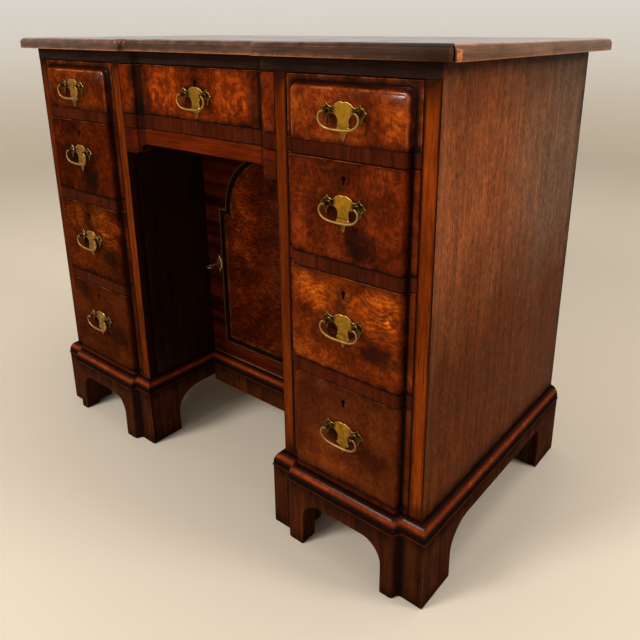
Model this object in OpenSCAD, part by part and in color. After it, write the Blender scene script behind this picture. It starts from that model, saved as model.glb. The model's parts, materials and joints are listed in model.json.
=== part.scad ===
// Walnut kneehole desk: two block-fronted pedestals of four drawers, a centre drawer, a shallow drawer
// behind the shaped apron, and a cupboard set back in the kneehole.
// Millimetres. X runs along the front, Y runs to the back, Z is up. The origin is on the floor, under
// the middle of the whole desk. Within the modules y = 0 is the front face of the stiles.

/* [Case] */
// Width over the end panels
case_w = 900; // [860:1:980]
// Depth from the face of the stiles to the back
case_d = 481; // [440:1:540]
// Width of a pedestal
pedestal_w = 265; // [250:1:285]
// Thickness of the end panels
end_t = 20; // [16:0.5:22]
// Thickness of the boards on each side of the kneehole
knee_side_t = 20; // [16:0.5:22]
// Width of the stile at the end of the desk
outer_stile_w = 23.6; // [22.5:0.1:28]
// Width of the stile beside the kneehole
inner_stile_w = 22.5; // [22.5:0.1:28]
// Thickness of the stiles
stile_t = 20; // [16:0.5:26]
// Thickness of the back boards
back_t = 10; // [7:0.5:14]
// Depth of the drawer rails, front to back
rail_d = 60; // [45:1:90]
// Thickness of the dustboards
dustboard_t = 8; // [5:0.5:8]
// Glue line between boards that are joined
glue_line = 0.1; // [0.05:0.01:0.2]

/* [Heights] */
// Height of the plinth boards
plinth_h = 112; // [100:1:130]
// Height of the base moulding
base_moulding_h = 26; // [20:1:32]
// Thickness of the rail under the bottom drawers
bottom_rail_t = 8; // [8:0.5:12]
// Height of the bottom drawer openings
bottom_opening_h = 166; // [150:1:185]
// Height of the third drawer openings
third_opening_h = 151; // [136:1:170]
// Height of the second drawer openings
second_opening_h = 141; // [126:1:160]
// Height of the top drawer openings
top_opening_h = 86; // [78:1:96]
// Thickness of the rails between drawers
rail_t = 20; // [16:0.5:24]
// Thickness of the rail under the centre drawer
centre_rail_t = 23; // [20:0.5:28]
// Height of the frieze rail under the top
frieze_h = 20.5; // [16:0.5:28]

/* [Top] */
// Thickness of the top board
top_t = 19.5; // [17:0.5:26]
// How far the top stands over the end panels
top_side_overhang = 28; // [20:0.5:34]
// How far the top stands in front of the stiles
top_front_overhang = 19.3; // [15:0.1:24]
// How far the top stands behind the back
top_back_overhang = 24; // [8:0.5:30]
// Height of the upright face of the top's edge
top_edge_h = 14; // [10:0.5:16]
// Width of the thumb moulding round the top
thumb_w = 12; // [8:0.5:16]
// Fillet between the upright edge and the thumb moulding
thumb_fillet = 1.2; // [0.6:0.1:2]
// Distance from the side of the kneehole to the ogee of the top's recess
top_recess_end_w = 20; // [15:0.5:25]
// Width of the ogee at each end of the top's recess
top_recess_ogee_w = 18; // [12:0.5:24]

/* [Block fronts] */
// How far the pedestal blocks stand forward
block_proj = 12.5; // [8:0.5:16]
// Flat strip on each side of a block
block_flat_w = 8.5; // [7:0.5:12]
// Width of the ogee on each side of a block
block_ogee_w = 10; // [8:0.5:14]
// Flat strip above the block of a top drawer
block_top_strip = 12; // [9:0.5:16]
// Radius of the block's upper corners on a top drawer
block_corner_r = 14; // [8:0.5:20]
// How far the centre section is set back
recess_d = 12.5; // [8:0.5:16]
// Flat strip at each end of the centre section
recess_end_w = 15; // [12:0.5:20]
// Width of the ogee at each end of the centre recess
recess_ogee_w = 32; // [24:0.5:40]

/* [Base] */
// How far the plinth stands out from the case
plinth_proj = 14.5; // [11:0.5:18]
// How far the base moulding stands out beyond the plinth
moulding_lip = 1; // [0.4:0.1:2]
// Height of the fillet under the base moulding's curve
moulding_foot_h = 2; // [1:0.1:4]
// Width of the fillet over the base moulding's curve
moulding_fillet = 0.6; // [0.4:0.1:2]
// Thickness of the plinth boards
plinth_t = 18; // [15:0.5:22]
// Width of a front foot at the end of the desk
outer_foot_w = 67; // [58:1:76]
// Width of a front foot at the kneehole
knee_foot_w = 74; // [64:1:84]
// Length of the front foot along the side of the desk
side_foot_l = 79.5; // [68:0.5:90]
// Length of the front foot along the kneehole
knee_side_foot_l = 69.5; // [60:0.5:80]
// Length of the rear foot along the side of the desk
rear_foot_l = 81; // [60:1:95]
// Height where the curve of the front brackets starts
front_spring_h = 50; // [40:1:60]
// Height where the curve of the side brackets starts
side_spring_h = 42; // [34:1:52]
// Height of the plinth's lower edge between the feet
skirt_z = 87; // [76:1:95]
// Width of the curve of a front bracket
front_sweep_w = 35; // [24:1:45]
// Length of the curve of a side bracket
side_sweep_w = 53; // [40:1:65]
// Length of the curve at the rear foot
rear_sweep_w = 12; // [6:1:20]
// Height of the lower edge of the cupboard's plinth
cupboard_skirt_z = 75; // [60:1:90]
// Size of the square blocks glued inside the feet
foot_block_w = 38; // [26:1:42]

/* [Drawers] */
// Thickness of the drawer fronts behind the flat strips
front_t = 20; // [16:0.5:24]
// Thickness of the drawer sides and backs
drawer_side_t = 8; // [6:0.5:12]
// Thickness of the drawer bottoms
drawer_bottom_t = 6; // [4:0.5:8]
// Height of the drawer bottom above the edge of its sides
drawer_bottom_rise = 4; // [2:0.5:8]
// How far the drawer sides stop below the top of the front
side_drop = 5; // [3:0.5:10]
// Space between a drawer and the back boards
drawer_back_gap = 21; // [10:1:40]
// Clearance at each end of a drawer front
side_gap = 0.75; // [0.4:0.05:1.5]
// Gap over a drawer front
top_gap = 1.5; // [0.8:0.1:2.5]
// Clearance between a drawer and what it slides on
seat_gap = 0.3; // [0.2:0.05:0.6]
// Height of the strips that guide the drawers
guide_h = 15; // [8:1:24]
// Height of the blocks that stop the drawers
stop_h = 3; // [2:0.1:3.4]
// Length of the blocks that stop the drawers, front to back
stop_l = 22; // [14:1:30]
// Width of the blocks that stop the drawers
stop_w = 28; // [18:1:40]
// Distance from a drawer's middle to its stop blocks
stop_x = 72; // [50:1:80]
// Share of the front's thickness that the dovetails go into
tail_share = 0.65; // [0.5:0.05:0.75]
// Distance between dovetails, nearly
tail_pitch = 37; // [24:1:50]
// How much wider each side of a dovetail grows towards its end
tail_flare = 2.4; // [1.5:0.1:3]
// Distance from the top of an opening down to its keyhole
keyhole_drop = 24; // [18:0.5:32]

/* [Apron drawer] */
// Height of the apron at the middle
apron_h = 28; // [22:0.5:34]
// How far the apron's ends hang below its middle
apron_drop = 16; // [8:0.5:18]
// Width of the drop at each end of the apron
apron_end_w = 20; // [14:0.5:26]
// Width of the curve beside each drop
apron_ogee_w = 27; // [18:0.5:36]
// Thickness of the apron
apron_t = 16; // [12:0.5:20]
// Gap over the apron
apron_top_gap = 1; // [0.6:0.1:2]
// Space between the apron drawer and the back boards
apron_back_gap = 42.5; // [20:0.5:80]
// Thickness of the sides and bottom of the apron drawer
apron_board_t = 6; // [4:0.5:8]
// How far the sides of the apron drawer are lower than the apron
apron_side_drop = 4; // [2:0.5:8]
// Height of the bottom of the apron drawer above the edge of its sides
apron_bottom_rise = 1; // [0.5:0.1:3]
// Width of the runners of the apron drawer
apron_runner_w = 10; // [6:0.5:14]

/* [Cupboard] */
// Distance from the stiles' face back to the door
door_y = 168; // [150:1:200]
// Thickness of the door
door_t = 18; // [16:0.5:22]
// Gap round the door
door_gap = 1.5; // [1:0.1:2.5]
// Gap under the door
door_floor_gap = 2; // [1:0.1:4]
// Width of the door's stiles
door_stile_w = 43.5; // [36:0.5:52]
// Height of the door's bottom rail
door_bottom_rail_h = 32; // [26:0.5:45]
// Shoulder on each side of the door's arch
door_shoulder_w = 19; // [10:0.5:30]
// Height of the door above the crown of the arch
door_crown_h = 12; // [10:0.5:16]
// Depth that the panel is set in from the door's face
panel_sunk = 5; // [3:0.5:6]
// Width of the sunk margin round the panel's field
panel_margin = 18; // [12:0.5:26]
// Height of the raised field over the margin
panel_field_h = 3; // [1:0.5:4]
// Thickness of the board behind the door's sight line
panel_board_t = 6; // [5:0.5:8]
// Width of the rebate that holds the door panel
panel_rebate_w = 8; // [5:0.5:9]
// Clearance round the door panel
panel_fit = 0.3; // [0.2:0.05:0.6]
// Lap of the stop strip over the top of the door
door_stop_lap = 8; // [5:0.5:12]
// Thickness of the cupboard's boards
cupboard_board_t = 10; // [8:0.5:14]
// Height of the shelf above the cupboard's floor
shelf_rise = 232; // [180:1:300]
// Space between the shelf and the door
shelf_setback = 22; // [18:1:60]

/* [Door fittings] */
// Radius of the hinge knuckles
knuckle_r = 2.8; // [2.4:0.1:3.2]
// Radius of the hinge pins
hinge_pin_r = 1.2; // [1:0.05:1.5]
// Length of a hinge
hinge_l = 48; // [36:1:64]
// Thickness of a hinge leaf
leaf_t = 1.2; // [0.8:0.1:1.6]
// Wood left behind the edge of a hinge leaf
leaf_inset = 2; // [1:0.5:4]
// Space between the knuckles and the side of the kneehole
knuckle_gap = 0.4; // [0.3:0.05:0.8]
// Distance from the ends of the door to its hinges
hinge_inset = 55; // [40:1:90]
// Distance from the door's closing edge to the keyhole
key_inset = 33.5; // [30:0.5:36]
// Height of the keyhole above the door's bottom edge
key_rise = 205; // [150:1:260]
// Radius of the key's shank
key_r = 2.1; // [1.8:0.1:2.4]
// How far the key stands out of the door
key_reach = 26; // [20:0.5:32]
// Outer radius of the key's bow
bow_r = 9; // [7:0.5:11]
// Radius of the eye in the key's bow
bow_eye_r = 5.8; // [4:0.1:6.5]
// Thickness of the key's bow
bow_t = 3; // [2:0.1:4]
// Radius of the key's collar
key_collar_r = 3.1; // [2.8:0.1:3.6]
// Length of the key's collar
key_collar_l = 2.4; // [1.5:0.1:4]
// How far the key's bit reaches from its axis
bit_reach = 8; // [6:0.5:9]
// Thickness of the key's bit
bit_w = 2; // [1.4:0.1:2.6]
// Clearance between the key and the lock
key_clear = 0.8; // [0.5:0.05:1]

/* [Locks] */
// Width of the door's lock
door_lock_w = 46; // [40:1:52]
// Height of the door's lock
door_lock_h = 50; // [40:1:60]
// Depth of the door's lock
door_lock_t = 12; // [10:0.5:16]
// Width of a drawer's lock
drawer_lock_w = 44; // [36:1:52]
// Height of a drawer's lock
drawer_lock_h = 28; // [24:1:30]
// Depth of a drawer's lock
drawer_lock_t = 9; // [7:0.5:12]
// Thickness of the lock's plates
lock_wall = 2; // [1.5:0.1:2.5]
// Radius of the escutcheon's middle
escutcheon_r = 7.5; // [6:0.1:8.4]
// Half the height of the escutcheon
escutcheon_h = 16; // [13:0.5:19]
// Thickness of the escutcheon
escutcheon_t = 1; // [0.6:0.1:1.6]

/* [Handles] */
// Height of the handles over the floors of the openings, from the top drawers down
handle_rise = [42, 81.5, 82, 94]; // [36:0.5:110]
// Distance between a handle's posts
post_gap = 47; // [44:0.5:50]
// Thickness of the backplates
plate_t = 1.6; // [1.2:0.1:2.4]
// Distance from the backplate to the axis of the bail
bail_stand = 10; // [8.5:0.1:10.5]
// Radius of a post's head
post_head_r = 3.2; // [2.8:0.1:3.6]
// Radius of the bail's pins
bail_pin_r = 1.3; // [1:0.05:1.5]
// Radius of the bail
bail_r = 1.8; // [1.5:0.1:2.1]
// Width of the bail along its centre line
bail_w = 64.8; // [63:0.1:70]
// Drop of the bail below its axis
bail_drop = 22; // [18:0.5:26]
// Radius of a post's shank
post_r = 1.9; // [1.6:0.1:2.2]
// Clearance of the shank in the wood
post_fit = 0.2; // [0.1:0.05:0.4]
// Length of thread that shows behind the nut
thread_l = 1.5; // [1:0.1:3]
// Radius of a post's collar
collar_r = 4; // [3.4:0.1:4.6]
// Thickness of a post's collar
collar_t = 1.6; // [1:0.1:2.2]
// Radius of a post's neck
neck_r = 2.2; // [2:0.05:2.6]
// Side of the square nuts
nut_w = 8; // [7:0.1:9]
// Thickness of the nuts
nut_t = 2.5; // [2:0.1:3.5]

/* [Hidden] */
$fn = 48;
running_gap = 0.05;
eps = 1;
ogee_steps = 5;
bail_step = 12.5;
bail_sides = 8;
top_row = 0;
row_count = 4;
walnut = [0.42, 0.17, 0.07];
dark_walnut = [0.20, 0.09, 0.05];
burr = [0.50, 0.22, 0.09];
panel_walnut = [0.33, 0.16, 0.08];
oak = [0.52, 0.37, 0.22];
brass = [0.66, 0.52, 0.20];
iron = [0.30, 0.29, 0.28];

end_x = case_w / 2;
knee_x = end_x - pedestal_w;
open_x0 = knee_x + inner_stile_w;
open_x1 = end_x - outer_stile_w;
open_cx = (open_x0 + open_x1) / 2;
block_half_w = (open_x1 - open_x0) / 2 - block_flat_w - block_ogee_w;
recess_outer = knee_x - recess_end_w;
recess_inner = recess_outer - recess_ogee_w;
top_recess_outer = knee_x - top_recess_end_w;
top_recess_inner = top_recess_outer - top_recess_ogee_w;
apron_curve_outer = knee_x - apron_end_w;
apron_curve_inner = apron_curve_outer - apron_ogee_w;
back_y = case_d - back_t;
moulding_proj = plinth_proj + moulding_lip;
front_reach = block_proj + moulding_proj;
desk_y = (front_reach - case_d - top_back_overhang) / 2;

base_z = plinth_h + base_moulding_h;
bottom_z = base_z + bottom_rail_t;
third_z = bottom_z + bottom_opening_h + rail_t;
second_z = third_z + third_opening_h + rail_t;
top_row_z = second_z + second_opening_h + rail_t;
opening_z = [top_row_z, second_z, third_z, bottom_z];
opening_h = [top_opening_h, second_opening_h, third_opening_h, bottom_opening_h];
frieze_z = top_row_z + top_opening_h;
top_z = frieze_z + frieze_h;
apron_top_z = top_row_z - centre_rail_t;
apron_z = apron_top_z - apron_h;
apron_tip_z = apron_z - apron_drop;

drawer_y1 = back_y - drawer_back_gap;
pedestal_face_y = -block_proj;
centre_face_y = recess_d;

cupboard_floor_z = base_z;
door_z0 = cupboard_floor_z + door_floor_gap;
door_z1 = apron_tip_z - door_gap - seat_gap;
door_x = knee_x - door_gap;
panel_x = door_x - door_stile_w;
panel_z = door_z0 + door_bottom_rail_h;
door_arch_r = panel_x - door_shoulder_w;
arch_z = door_z1 - door_crown_h - door_arch_r;
rebate_y = door_y + door_t / 2;
shelf_z = cupboard_floor_z + shelf_rise;

hinge_x = knee_x - knuckle_r - knuckle_gap;
hinge_y = door_y - knuckle_r - seat_gap;
hinge_z = [door_z0 + hinge_inset, door_z1 - hinge_inset - hinge_l];
knuckle_l = hinge_l / 3;
leaf_d = door_t - leaf_inset;
key_x = -door_x + key_inset;
key_z = door_z0 + key_rise;

bail_top_angle = 35;
bail_centre = bail_drop * sin(bail_top_angle) / (1 + sin(bail_top_angle));
bail_ry = bail_drop - bail_centre;
bail_bow = 0.6;
bail_end = 2.2;

function reversed(v) = [for (i = [len(v) - 1:-1:0]) v[i]];

// An S from the proud point to the deep one: a quarter round first, then a cove
function ogee(proud, deep) =
    let (mid = (proud + deep) / 2, half = (deep - proud) / 2)
    concat(
        [for (i = [0:ogee_steps]) let (a = 90 * i / ogee_steps)
            proud + [half[0] * sin(a), half[1] * (1 - cos(a))]],
        [for (i = [1:ogee_steps]) let (a = 90 * i / ogee_steps)
            mid + [half[0] * (1 - cos(a)), half[1] * sin(a)]]);

// The block's outline in plan from x0 to x1, o millimetres in front of the stiles
function block_line(x0, x1, o) =
    let (half = block_half_w + 0.4 * o, foot = block_half_w + block_ogee_w + 0.75 * o)
    concat(
        [[x0, -o]],
        reversed(ogee([open_cx - half, -o - block_proj], [open_cx - foot, -o])),
        ogee([open_cx + half, -o - block_proj], [open_cx + foot, -o]),
        [[x1, -o]]);

// The outline in plan of the set-back centre, half_w on each side of the middle
function recess_line(half_w, outer, inner, y) =
    concat(
        [[-half_w, y]],
        ogee([-outer, y], [-inner, y + recess_d]),
        reversed(ogee([outer, y], [inner, y + recess_d])),
        [[half_w, y]]);

// The front line closed along y = back, with a point there behind each of its own, kept within x0 and x1
function backed(line, x0, x1, back) =
    concat(line, [for (p = reversed(line)) [min(max(p[0], x0), x1), back]]);

// A closed skin over rings of points. Each ring is counter-clockwise seen from the last one, and its points
// face each other in pairs, first and last, second and last but one, so that the ends are rows of quads
module skin(rings) {
    n = len(rings[0]);
    last = n * (len(rings) - 1);
    polyhedron(
        points = [for (ring = rings) each ring],
        faces = concat(
            [for (i = [0:n / 2 - 2]) [i, i + 1, n - 2 - i, n - 1 - i]],
            [for (k = [0:n:last - n], i = [0:n - 1]) let (j = (i + 1) % n) [k + i, k + n + i, k + n + j]],
            [for (k = [0:n:last - n], i = [0:n - 1]) let (j = (i + 1) % n) [k + i, k + n + j, k + j]],
            [for (i = [0:n / 2 - 2]) [last + n - 1 - i, last + n - 2 - i, last + i + 1, last + i]]));
}

function at_height(outline, z) = [for (p = outline) [p[0], p[1], z]];

module in_place() { translate([0, desk_y, 0]) children(); }

module both_sides() {
    children();
    mirror([1, 0, 0]) children();
}

// An elevation seen from the front, from y0 back to y1
module front_view(y0, y1) { translate([0, y1, 0]) rotate([90, 0, 0]) linear_extrude(y1 - y0) children(); }

// An elevation seen from the side, from x0 to x1
module side_view(x0, x1) { translate([x0, 0, 0]) rotate([90, 0, 90]) linear_extrude(x1 - x0) children(); }

// A board between two corners
module board(low, high) { translate(low) cube(high - low); }

// Top and frieze

function top_outline(inset) =
    let (x = end_x + top_side_overhang - inset, front = inset - top_front_overhang)
    backed(recess_line(x, top_recess_outer + inset / 2, top_recess_inner + inset / 2, front), -x, x,
        case_d + top_back_overhang);

module top_board() {
    thumb_h = top_t - top_edge_h;
    thumb = [for (a = [0:15:90])
        [thumb_fillet + (thumb_w - thumb_fillet) * (1 - cos(a)), top_edge_h + thumb_h * sin(a)]];
    profile = concat([[0, 0], [0, top_edge_h - thumb_fillet / 4]], thumb);
    color(dark_walnut) in_place() translate([0, 0, top_z])
        skin([for (p = profile) at_height(top_outline(p[0]), p[1])]);
}

module frieze_rail() {
    back = recess_d + stile_t;
    color(dark_walnut) in_place() translate([0, 0, frieze_z]) linear_extrude(frieze_h)
        polygon(concat(
            recess_line(end_x, recess_outer, recess_inner, 0),
            [[end_x, stile_t], [knee_x, stile_t], [knee_x, back], [-knee_x, back], [-knee_x, stile_t],
                [-end_x, stile_t]]));
}

// Case

module end_panels() {
    color(panel_walnut) in_place() both_sides()
        board([end_x - end_t, stile_t, plinth_h], [end_x, case_d, top_z]);
}

// The right-hand board is let in for the fixed leaves of the door hinges
module knee_sides() {
    color(dark_walnut) in_place() {
        mirror([1, 0, 0]) knee_side();
        difference() {
            knee_side();
            for (z = hinge_z)
                board([knee_x - eps, hinge_y - leaf_t, z], [knee_x + leaf_t, hinge_y + leaf_d, z + hinge_l]);
        }
    }
}

module knee_side() { board([knee_x, stile_t, plinth_h], [knee_x + knee_side_t, back_y, top_z]); }

module stiles() {
    color(walnut) in_place() both_sides() {
        board([open_x1, 0, base_z], [end_x, stile_t, frieze_z]);
        board([knee_x, 0, base_z], [open_x0, stile_t, frieze_z]);
    }
}

module drawer_rails() {
    color(dark_walnut) in_place() both_sides() {
        for (row = [top_row:row_count - 2]) drawer_rail(opening_z[row], rail_t);
        drawer_rail(bottom_z, bottom_rail_t);
    }
}

module drawer_rail(z, t) {
    translate([0, 0, z - t]) linear_extrude(t)
        polygon(concat(block_line(open_x0, open_x1, 0), [[open_x1, rail_d], [open_x0, rail_d]]));
}

module centre_rail() {
    color(dark_walnut) in_place() translate([0, 0, apron_top_z]) linear_extrude(centre_rail_t)
        polygon(concat(
            recess_line(knee_x, recess_outer, recess_inner, 0), [[knee_x, rail_d], [-knee_x, rail_d]]));
}

// Boards that the drawers run on, the strips that guide them, the runners of the apron drawer, and the
// blocks on the rails that a drawer's front comes to rest against
module dustboards() {
    inner_x = knee_x + knee_side_t;
    outer_x = end_x - end_t;
    color(oak) in_place() {
        both_sides() {
            for (z = opening_z) {
                board([inner_x, rail_d, z - dustboard_t], [outer_x, back_y, z]);
                board([inner_x, rail_d, z + glue_line], [open_x0, back_y, z + guide_h]);
                board([open_x1, rail_d, z + glue_line], [outer_x, back_y, z + guide_h]);
            }
            board([knee_x - apron_runner_w, recess_d + apron_t + eps, apron_z - cupboard_board_t],
                [knee_x, door_y, apron_z]);
        }
        board([-knee_x, rail_d, top_row_z - dustboard_t], [knee_x, back_y, top_row_z]);
        for (z = opening_z, s = [-1, 1], side = [-1, 1]) stop_block(side * open_cx + s * stop_x, front_t, z);
        for (s = [-1, 1]) stop_block(s * stop_x, recess_d + front_t, top_row_z);
    }
}

module stop_block(x, y, z) {
    board([x - stop_w / 2, y + seat_gap, z], [x + stop_w / 2, y + seat_gap + stop_l, z + stop_h]);
}

module back_boards() {
    color(oak) in_place() {
        both_sides() board([knee_x + glue_line, back_y, plinth_h], [end_x - end_t, case_d, top_z]);
        board([-knee_x, back_y, plinth_h], [knee_x, case_d, top_z]);
    }
}

// Base

// The moulding's section, how far it stands out and its height there: a fillet, then an ovolo
moulding_profile = concat(
    [[moulding_proj, 0]],
    [for (a = [90:-15:0])
        [moulding_fillet + (moulding_proj - moulding_fillet) * sin(a),
            moulding_foot_h + (base_moulding_h - moulding_foot_h) * cos(a)]]);

// Strips along the front, the outer side and the kneehole side of each pedestal, and under the cupboard,
// mitred where they meet
module base_mouldings() {
    start = glue_line;
    stop = door_y - glue_line;
    color(walnut) in_place() translate([0, 0, plinth_h]) {
        both_sides() {
            skin([for (p = moulding_profile) at_height(
                backed(block_line(knee_x - p[0], end_x + p[0], p[0]), knee_x, end_x, 0), p[1])]);
            skin([for (p = moulding_profile) at_height([[end_x, start], [end_x + p[0], start - p[0]],
                [end_x + p[0], case_d], [end_x, case_d]], p[1])]);
            skin([for (p = moulding_profile) at_height(
                [[knee_x, start], [knee_x, stop], [knee_x - p[0], stop - p[0]],
                    [knee_x - p[0], start - p[0]]],
                p[1])]);
        }
        skin([for (p = moulding_profile) at_height([[p[0] - knee_x, door_y - p[0]],
            [knee_x - p[0], door_y - p[0]], [knee_x, door_y], [-knee_x, door_y]], p[1])]);
    }
}

// The space between two feet: upright to the spring heights, then a quarter of an ellipse to the skirt
module bracket_arch(u0, u1, spring0, spring1, sweep0, sweep1) {
    corner = [0:10:90];
    polygon(concat(
        [[u0, -eps], [u0, spring0]],
        [for (a = corner) [u0 + sweep0 * (1 - cos(a)), spring0 + (skirt_z - spring0) * sin(a)]],
        [for (a = [90:-10:0]) [u1 - sweep1 * (1 - cos(a)), spring1 + (skirt_z - spring1) * sin(a)]],
        [[u1, -eps]]));
}

module pedestal_plinths() {
    outer_x = end_x + plinth_proj;
    inner_x = knee_x - plinth_proj;
    front = -plinth_proj;
    start = front + glue_line;
    color(walnut) in_place() both_sides() {
        difference() {
            linear_extrude(plinth_h) polygon(concat(
                block_line(inner_x, outer_x, plinth_proj),
                [[outer_x - plinth_t, front + plinth_t], [inner_x + plinth_t, front + plinth_t]]));
            front_view(-front_reach - eps, plinth_t)
                bracket_arch(inner_x + knee_foot_w, outer_x - outer_foot_w, front_spring_h, front_spring_h,
                    front_sweep_w, front_sweep_w);
        }
        difference() {
            linear_extrude(plinth_h) polygon([[outer_x, start], [outer_x, case_d],
                [outer_x - plinth_t, case_d], [outer_x - plinth_t, start + plinth_t]]);
            side_view(outer_x - plinth_t - eps, outer_x + eps)
                bracket_arch(front + side_foot_l, case_d - rear_foot_l, side_spring_h, side_spring_h,
                    side_sweep_w, rear_sweep_w);
        }
        difference() {
            linear_extrude(plinth_h) polygon([[inner_x, start], [inner_x + plinth_t, start + plinth_t],
                [inner_x + plinth_t, door_y], [inner_x, door_y]]);
            side_view(inner_x - eps, inner_x + plinth_t + eps)
                bracket_arch(front + knee_side_foot_l, door_y + side_sweep_w, side_spring_h, side_spring_h,
                    side_sweep_w, side_sweep_w);
        }
    }
}

module cupboard_plinth() {
    front = door_y - plinth_proj;
    x = knee_x - plinth_proj;
    color(walnut) in_place()
        board([-x, front, cupboard_skirt_z], [x, front + plinth_t, plinth_h]);
}

// Blocks glued in the corners of the feet, and the two rear feet behind the kneehole
module foot_blocks() {
    outer_x = end_x + plinth_proj - plinth_t;
    inner_x = knee_x - plinth_proj + plinth_t;
    front = plinth_t - plinth_proj;
    color(oak) in_place() both_sides() {
        board([outer_x - foot_block_w, front, 0], [outer_x, front + foot_block_w, plinth_h]);
        board([inner_x, front, 0], [inner_x + foot_block_w, front + foot_block_w, plinth_h]);
        board([outer_x - foot_block_w, case_d - rear_foot_l, 0], [outer_x, case_d, plinth_h]);
        board([knee_x, back_y - foot_block_w, 0], [knee_x + foot_block_w, case_d, plinth_h]);
    }
}

// Cupboard

module cupboard_boards() {
    top_low = apron_z - cupboard_board_t;
    color(oak) in_place() {
        board([-knee_x, door_y, cupboard_floor_z - cupboard_board_t], [knee_x, back_y, cupboard_floor_z]);
        board([-knee_x, door_y, top_low], [knee_x, back_y, apron_z]);
    }
}

// Rail over the door, with the strip behind it that stops the door
module cupboard_head_rail() {
    low = apron_tip_z - seat_gap;
    high = apron_z - cupboard_board_t;
    stop_y = door_y + door_t + seat_gap;
    color(dark_walnut) in_place() {
        board([-knee_x, door_y, low], [knee_x, stop_y, high]);
        board([-panel_x, stop_y + glue_line, door_z1 - door_stop_lap],
            [panel_x, stop_y + cupboard_board_t, high]);
    }
}

// Shelf on its two ledges
module cupboard_shelf() {
    front = door_y + door_t + shelf_setback;
    color(oak) in_place() {
        board([-knee_x, front, shelf_z], [knee_x, back_y, shelf_z + cupboard_board_t]);
        both_sides() board([knee_x - cupboard_board_t, front, shelf_z - cupboard_board_t],
            [knee_x, back_y, shelf_z - glue_line]);
    }
}

// The door's sight line, drawn smaller all round by inset
module arch_shape(inset) {
    translate([-panel_x + inset, panel_z + inset])
        square([2 * (panel_x - inset), arch_z - panel_z - 2 * inset]);
    intersection() {
        translate([0, arch_z]) circle(door_arch_r - inset);
        translate([-door_arch_r, arch_z - inset - eps]) square([2 * door_arch_r, 2 * door_arch_r]);
    }
}

module keyhole(slot_l) {
    r = key_r + key_clear;
    circle(r);
    translate([-bit_w / 2 - key_clear / 2, -slot_l]) square([bit_w + key_clear, slot_l]);
}

// Two stiles with the rails glued between them, rebated at the back for the panel
module door_frame() {
    y0 = door_y - eps;
    y1 = door_y + door_t + eps;
    color(walnut) in_place() difference() {
        board([-door_x, door_y, door_z0], [door_x, door_y + door_t, door_z1]);
        front_view(y0, y1) arch_shape(0);
        board([-panel_x - panel_rebate_w, rebate_y, panel_z - panel_rebate_w],
            [panel_x + panel_rebate_w, y1, arch_z + door_arch_r + panel_rebate_w]);
        both_sides() board([panel_x, y0, door_z0 - eps], [panel_x + glue_line, y1, door_z1 + eps]);
        front_view(y0, y1) translate([key_x, key_z]) keyhole(bit_reach + key_clear);
        for (z = hinge_z)
            board([door_x - leaf_t, y0, z], [door_x + eps, hinge_y + leaf_d, z + hinge_l]);
    }
}

module door_panel() {
    margin_y = door_y + panel_sunk;
    color(burr) in_place() {
        board([-panel_x - panel_rebate_w + panel_fit, rebate_y, panel_z - panel_rebate_w + panel_fit],
            [panel_x + panel_rebate_w - panel_fit, rebate_y + panel_board_t,
                arch_z + door_arch_r + panel_rebate_w - panel_fit]);
        front_view(margin_y, rebate_y) arch_shape(panel_fit);
        front_view(margin_y - panel_field_h, margin_y) arch_shape(panel_margin);
    }
}

// Knuckle number k of a hinge that starts at z, bored for the pin
module knuckle(z, k) {
    translate([hinge_x, hinge_y, z + k * knuckle_l + running_gap]) difference() {
        cylinder(r = knuckle_r, h = knuckle_l - 2 * running_gap);
        translate([0, 0, -eps]) cylinder(r = hinge_pin_r + running_gap, h = knuckle_l + 2 * eps);
    }
}

// Leaves let into the side of the kneehole, and the pins
module door_hinges() {
    color(brass) in_place() for (z = hinge_z) {
        board([knee_x, hinge_y - leaf_t, z], [knee_x + leaf_t, hinge_y + leaf_d, z + hinge_l]);
        for (k = [0, 2]) {
            knuckle(z, k);
            low_z = z + k * knuckle_l + running_gap;
            board([hinge_x + hinge_pin_r + 2 * running_gap, hinge_y - leaf_t / 2, low_z],
                [knee_x + leaf_t, hinge_y + leaf_t / 2, low_z + knuckle_l - 2 * running_gap]);
        }
        translate([hinge_x, hinge_y, z]) cylinder(r = hinge_pin_r, h = hinge_l);
    }
}

// Leaves let into the edge of the door
module door_hinge_leaves() {
    color(brass) in_place() for (z = hinge_z) {
        board([door_x - leaf_t, door_y, z], [door_x, hinge_y + leaf_d, z + hinge_l]);
        difference() {
            union() {
                knuckle(z, 1);
                board([door_x - leaf_t, hinge_y, z + knuckle_l + running_gap],
                    [door_x, door_y + eps, z + 2 * knuckle_l - running_gap]);
            }
            translate([hinge_x, hinge_y, z]) cylinder(r = hinge_pin_r + running_gap, h = hinge_l);
        }
    }
}

// Lock with its bolt drawn in, and the escutcheon on the door's face
module door_lock() {
    y0 = door_y + door_t;
    y1 = y0 + door_lock_t;
    edge_x = lock_wall - key_inset;
    color(brass) in_place() translate([key_x, 0, key_z]) {
        difference() {
            board([edge_x, y0, -door_lock_h / 2], [edge_x + door_lock_w, y1, door_lock_h / 2]);
            front_view(y0 - eps, y1 - lock_wall) circle(bit_reach + key_r + key_clear);
            front_view(y0 - eps, y0 + lock_wall + eps) keyhole(bit_reach + key_clear);
        }
        front_view(door_y - escutcheon_t, door_y) difference() {
            escutcheon_shape();
            keyhole(bit_reach + key_clear);
        }
    }
}

// A disc between two smaller ones, with a bead at each side
module escutcheon_shape() {
    end_r = escutcheon_r / 2;
    circle(escutcheon_r);
    for (s = [-1, 1]) {
        translate([0, s * (escutcheon_h - end_r)]) circle(end_r);
        translate([s * escutcheon_r, 0]) circle(escutcheon_r / 4);
    }
    square([2 * end_r, 2 * (escutcheon_h - end_r)], center = true);
}

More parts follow.
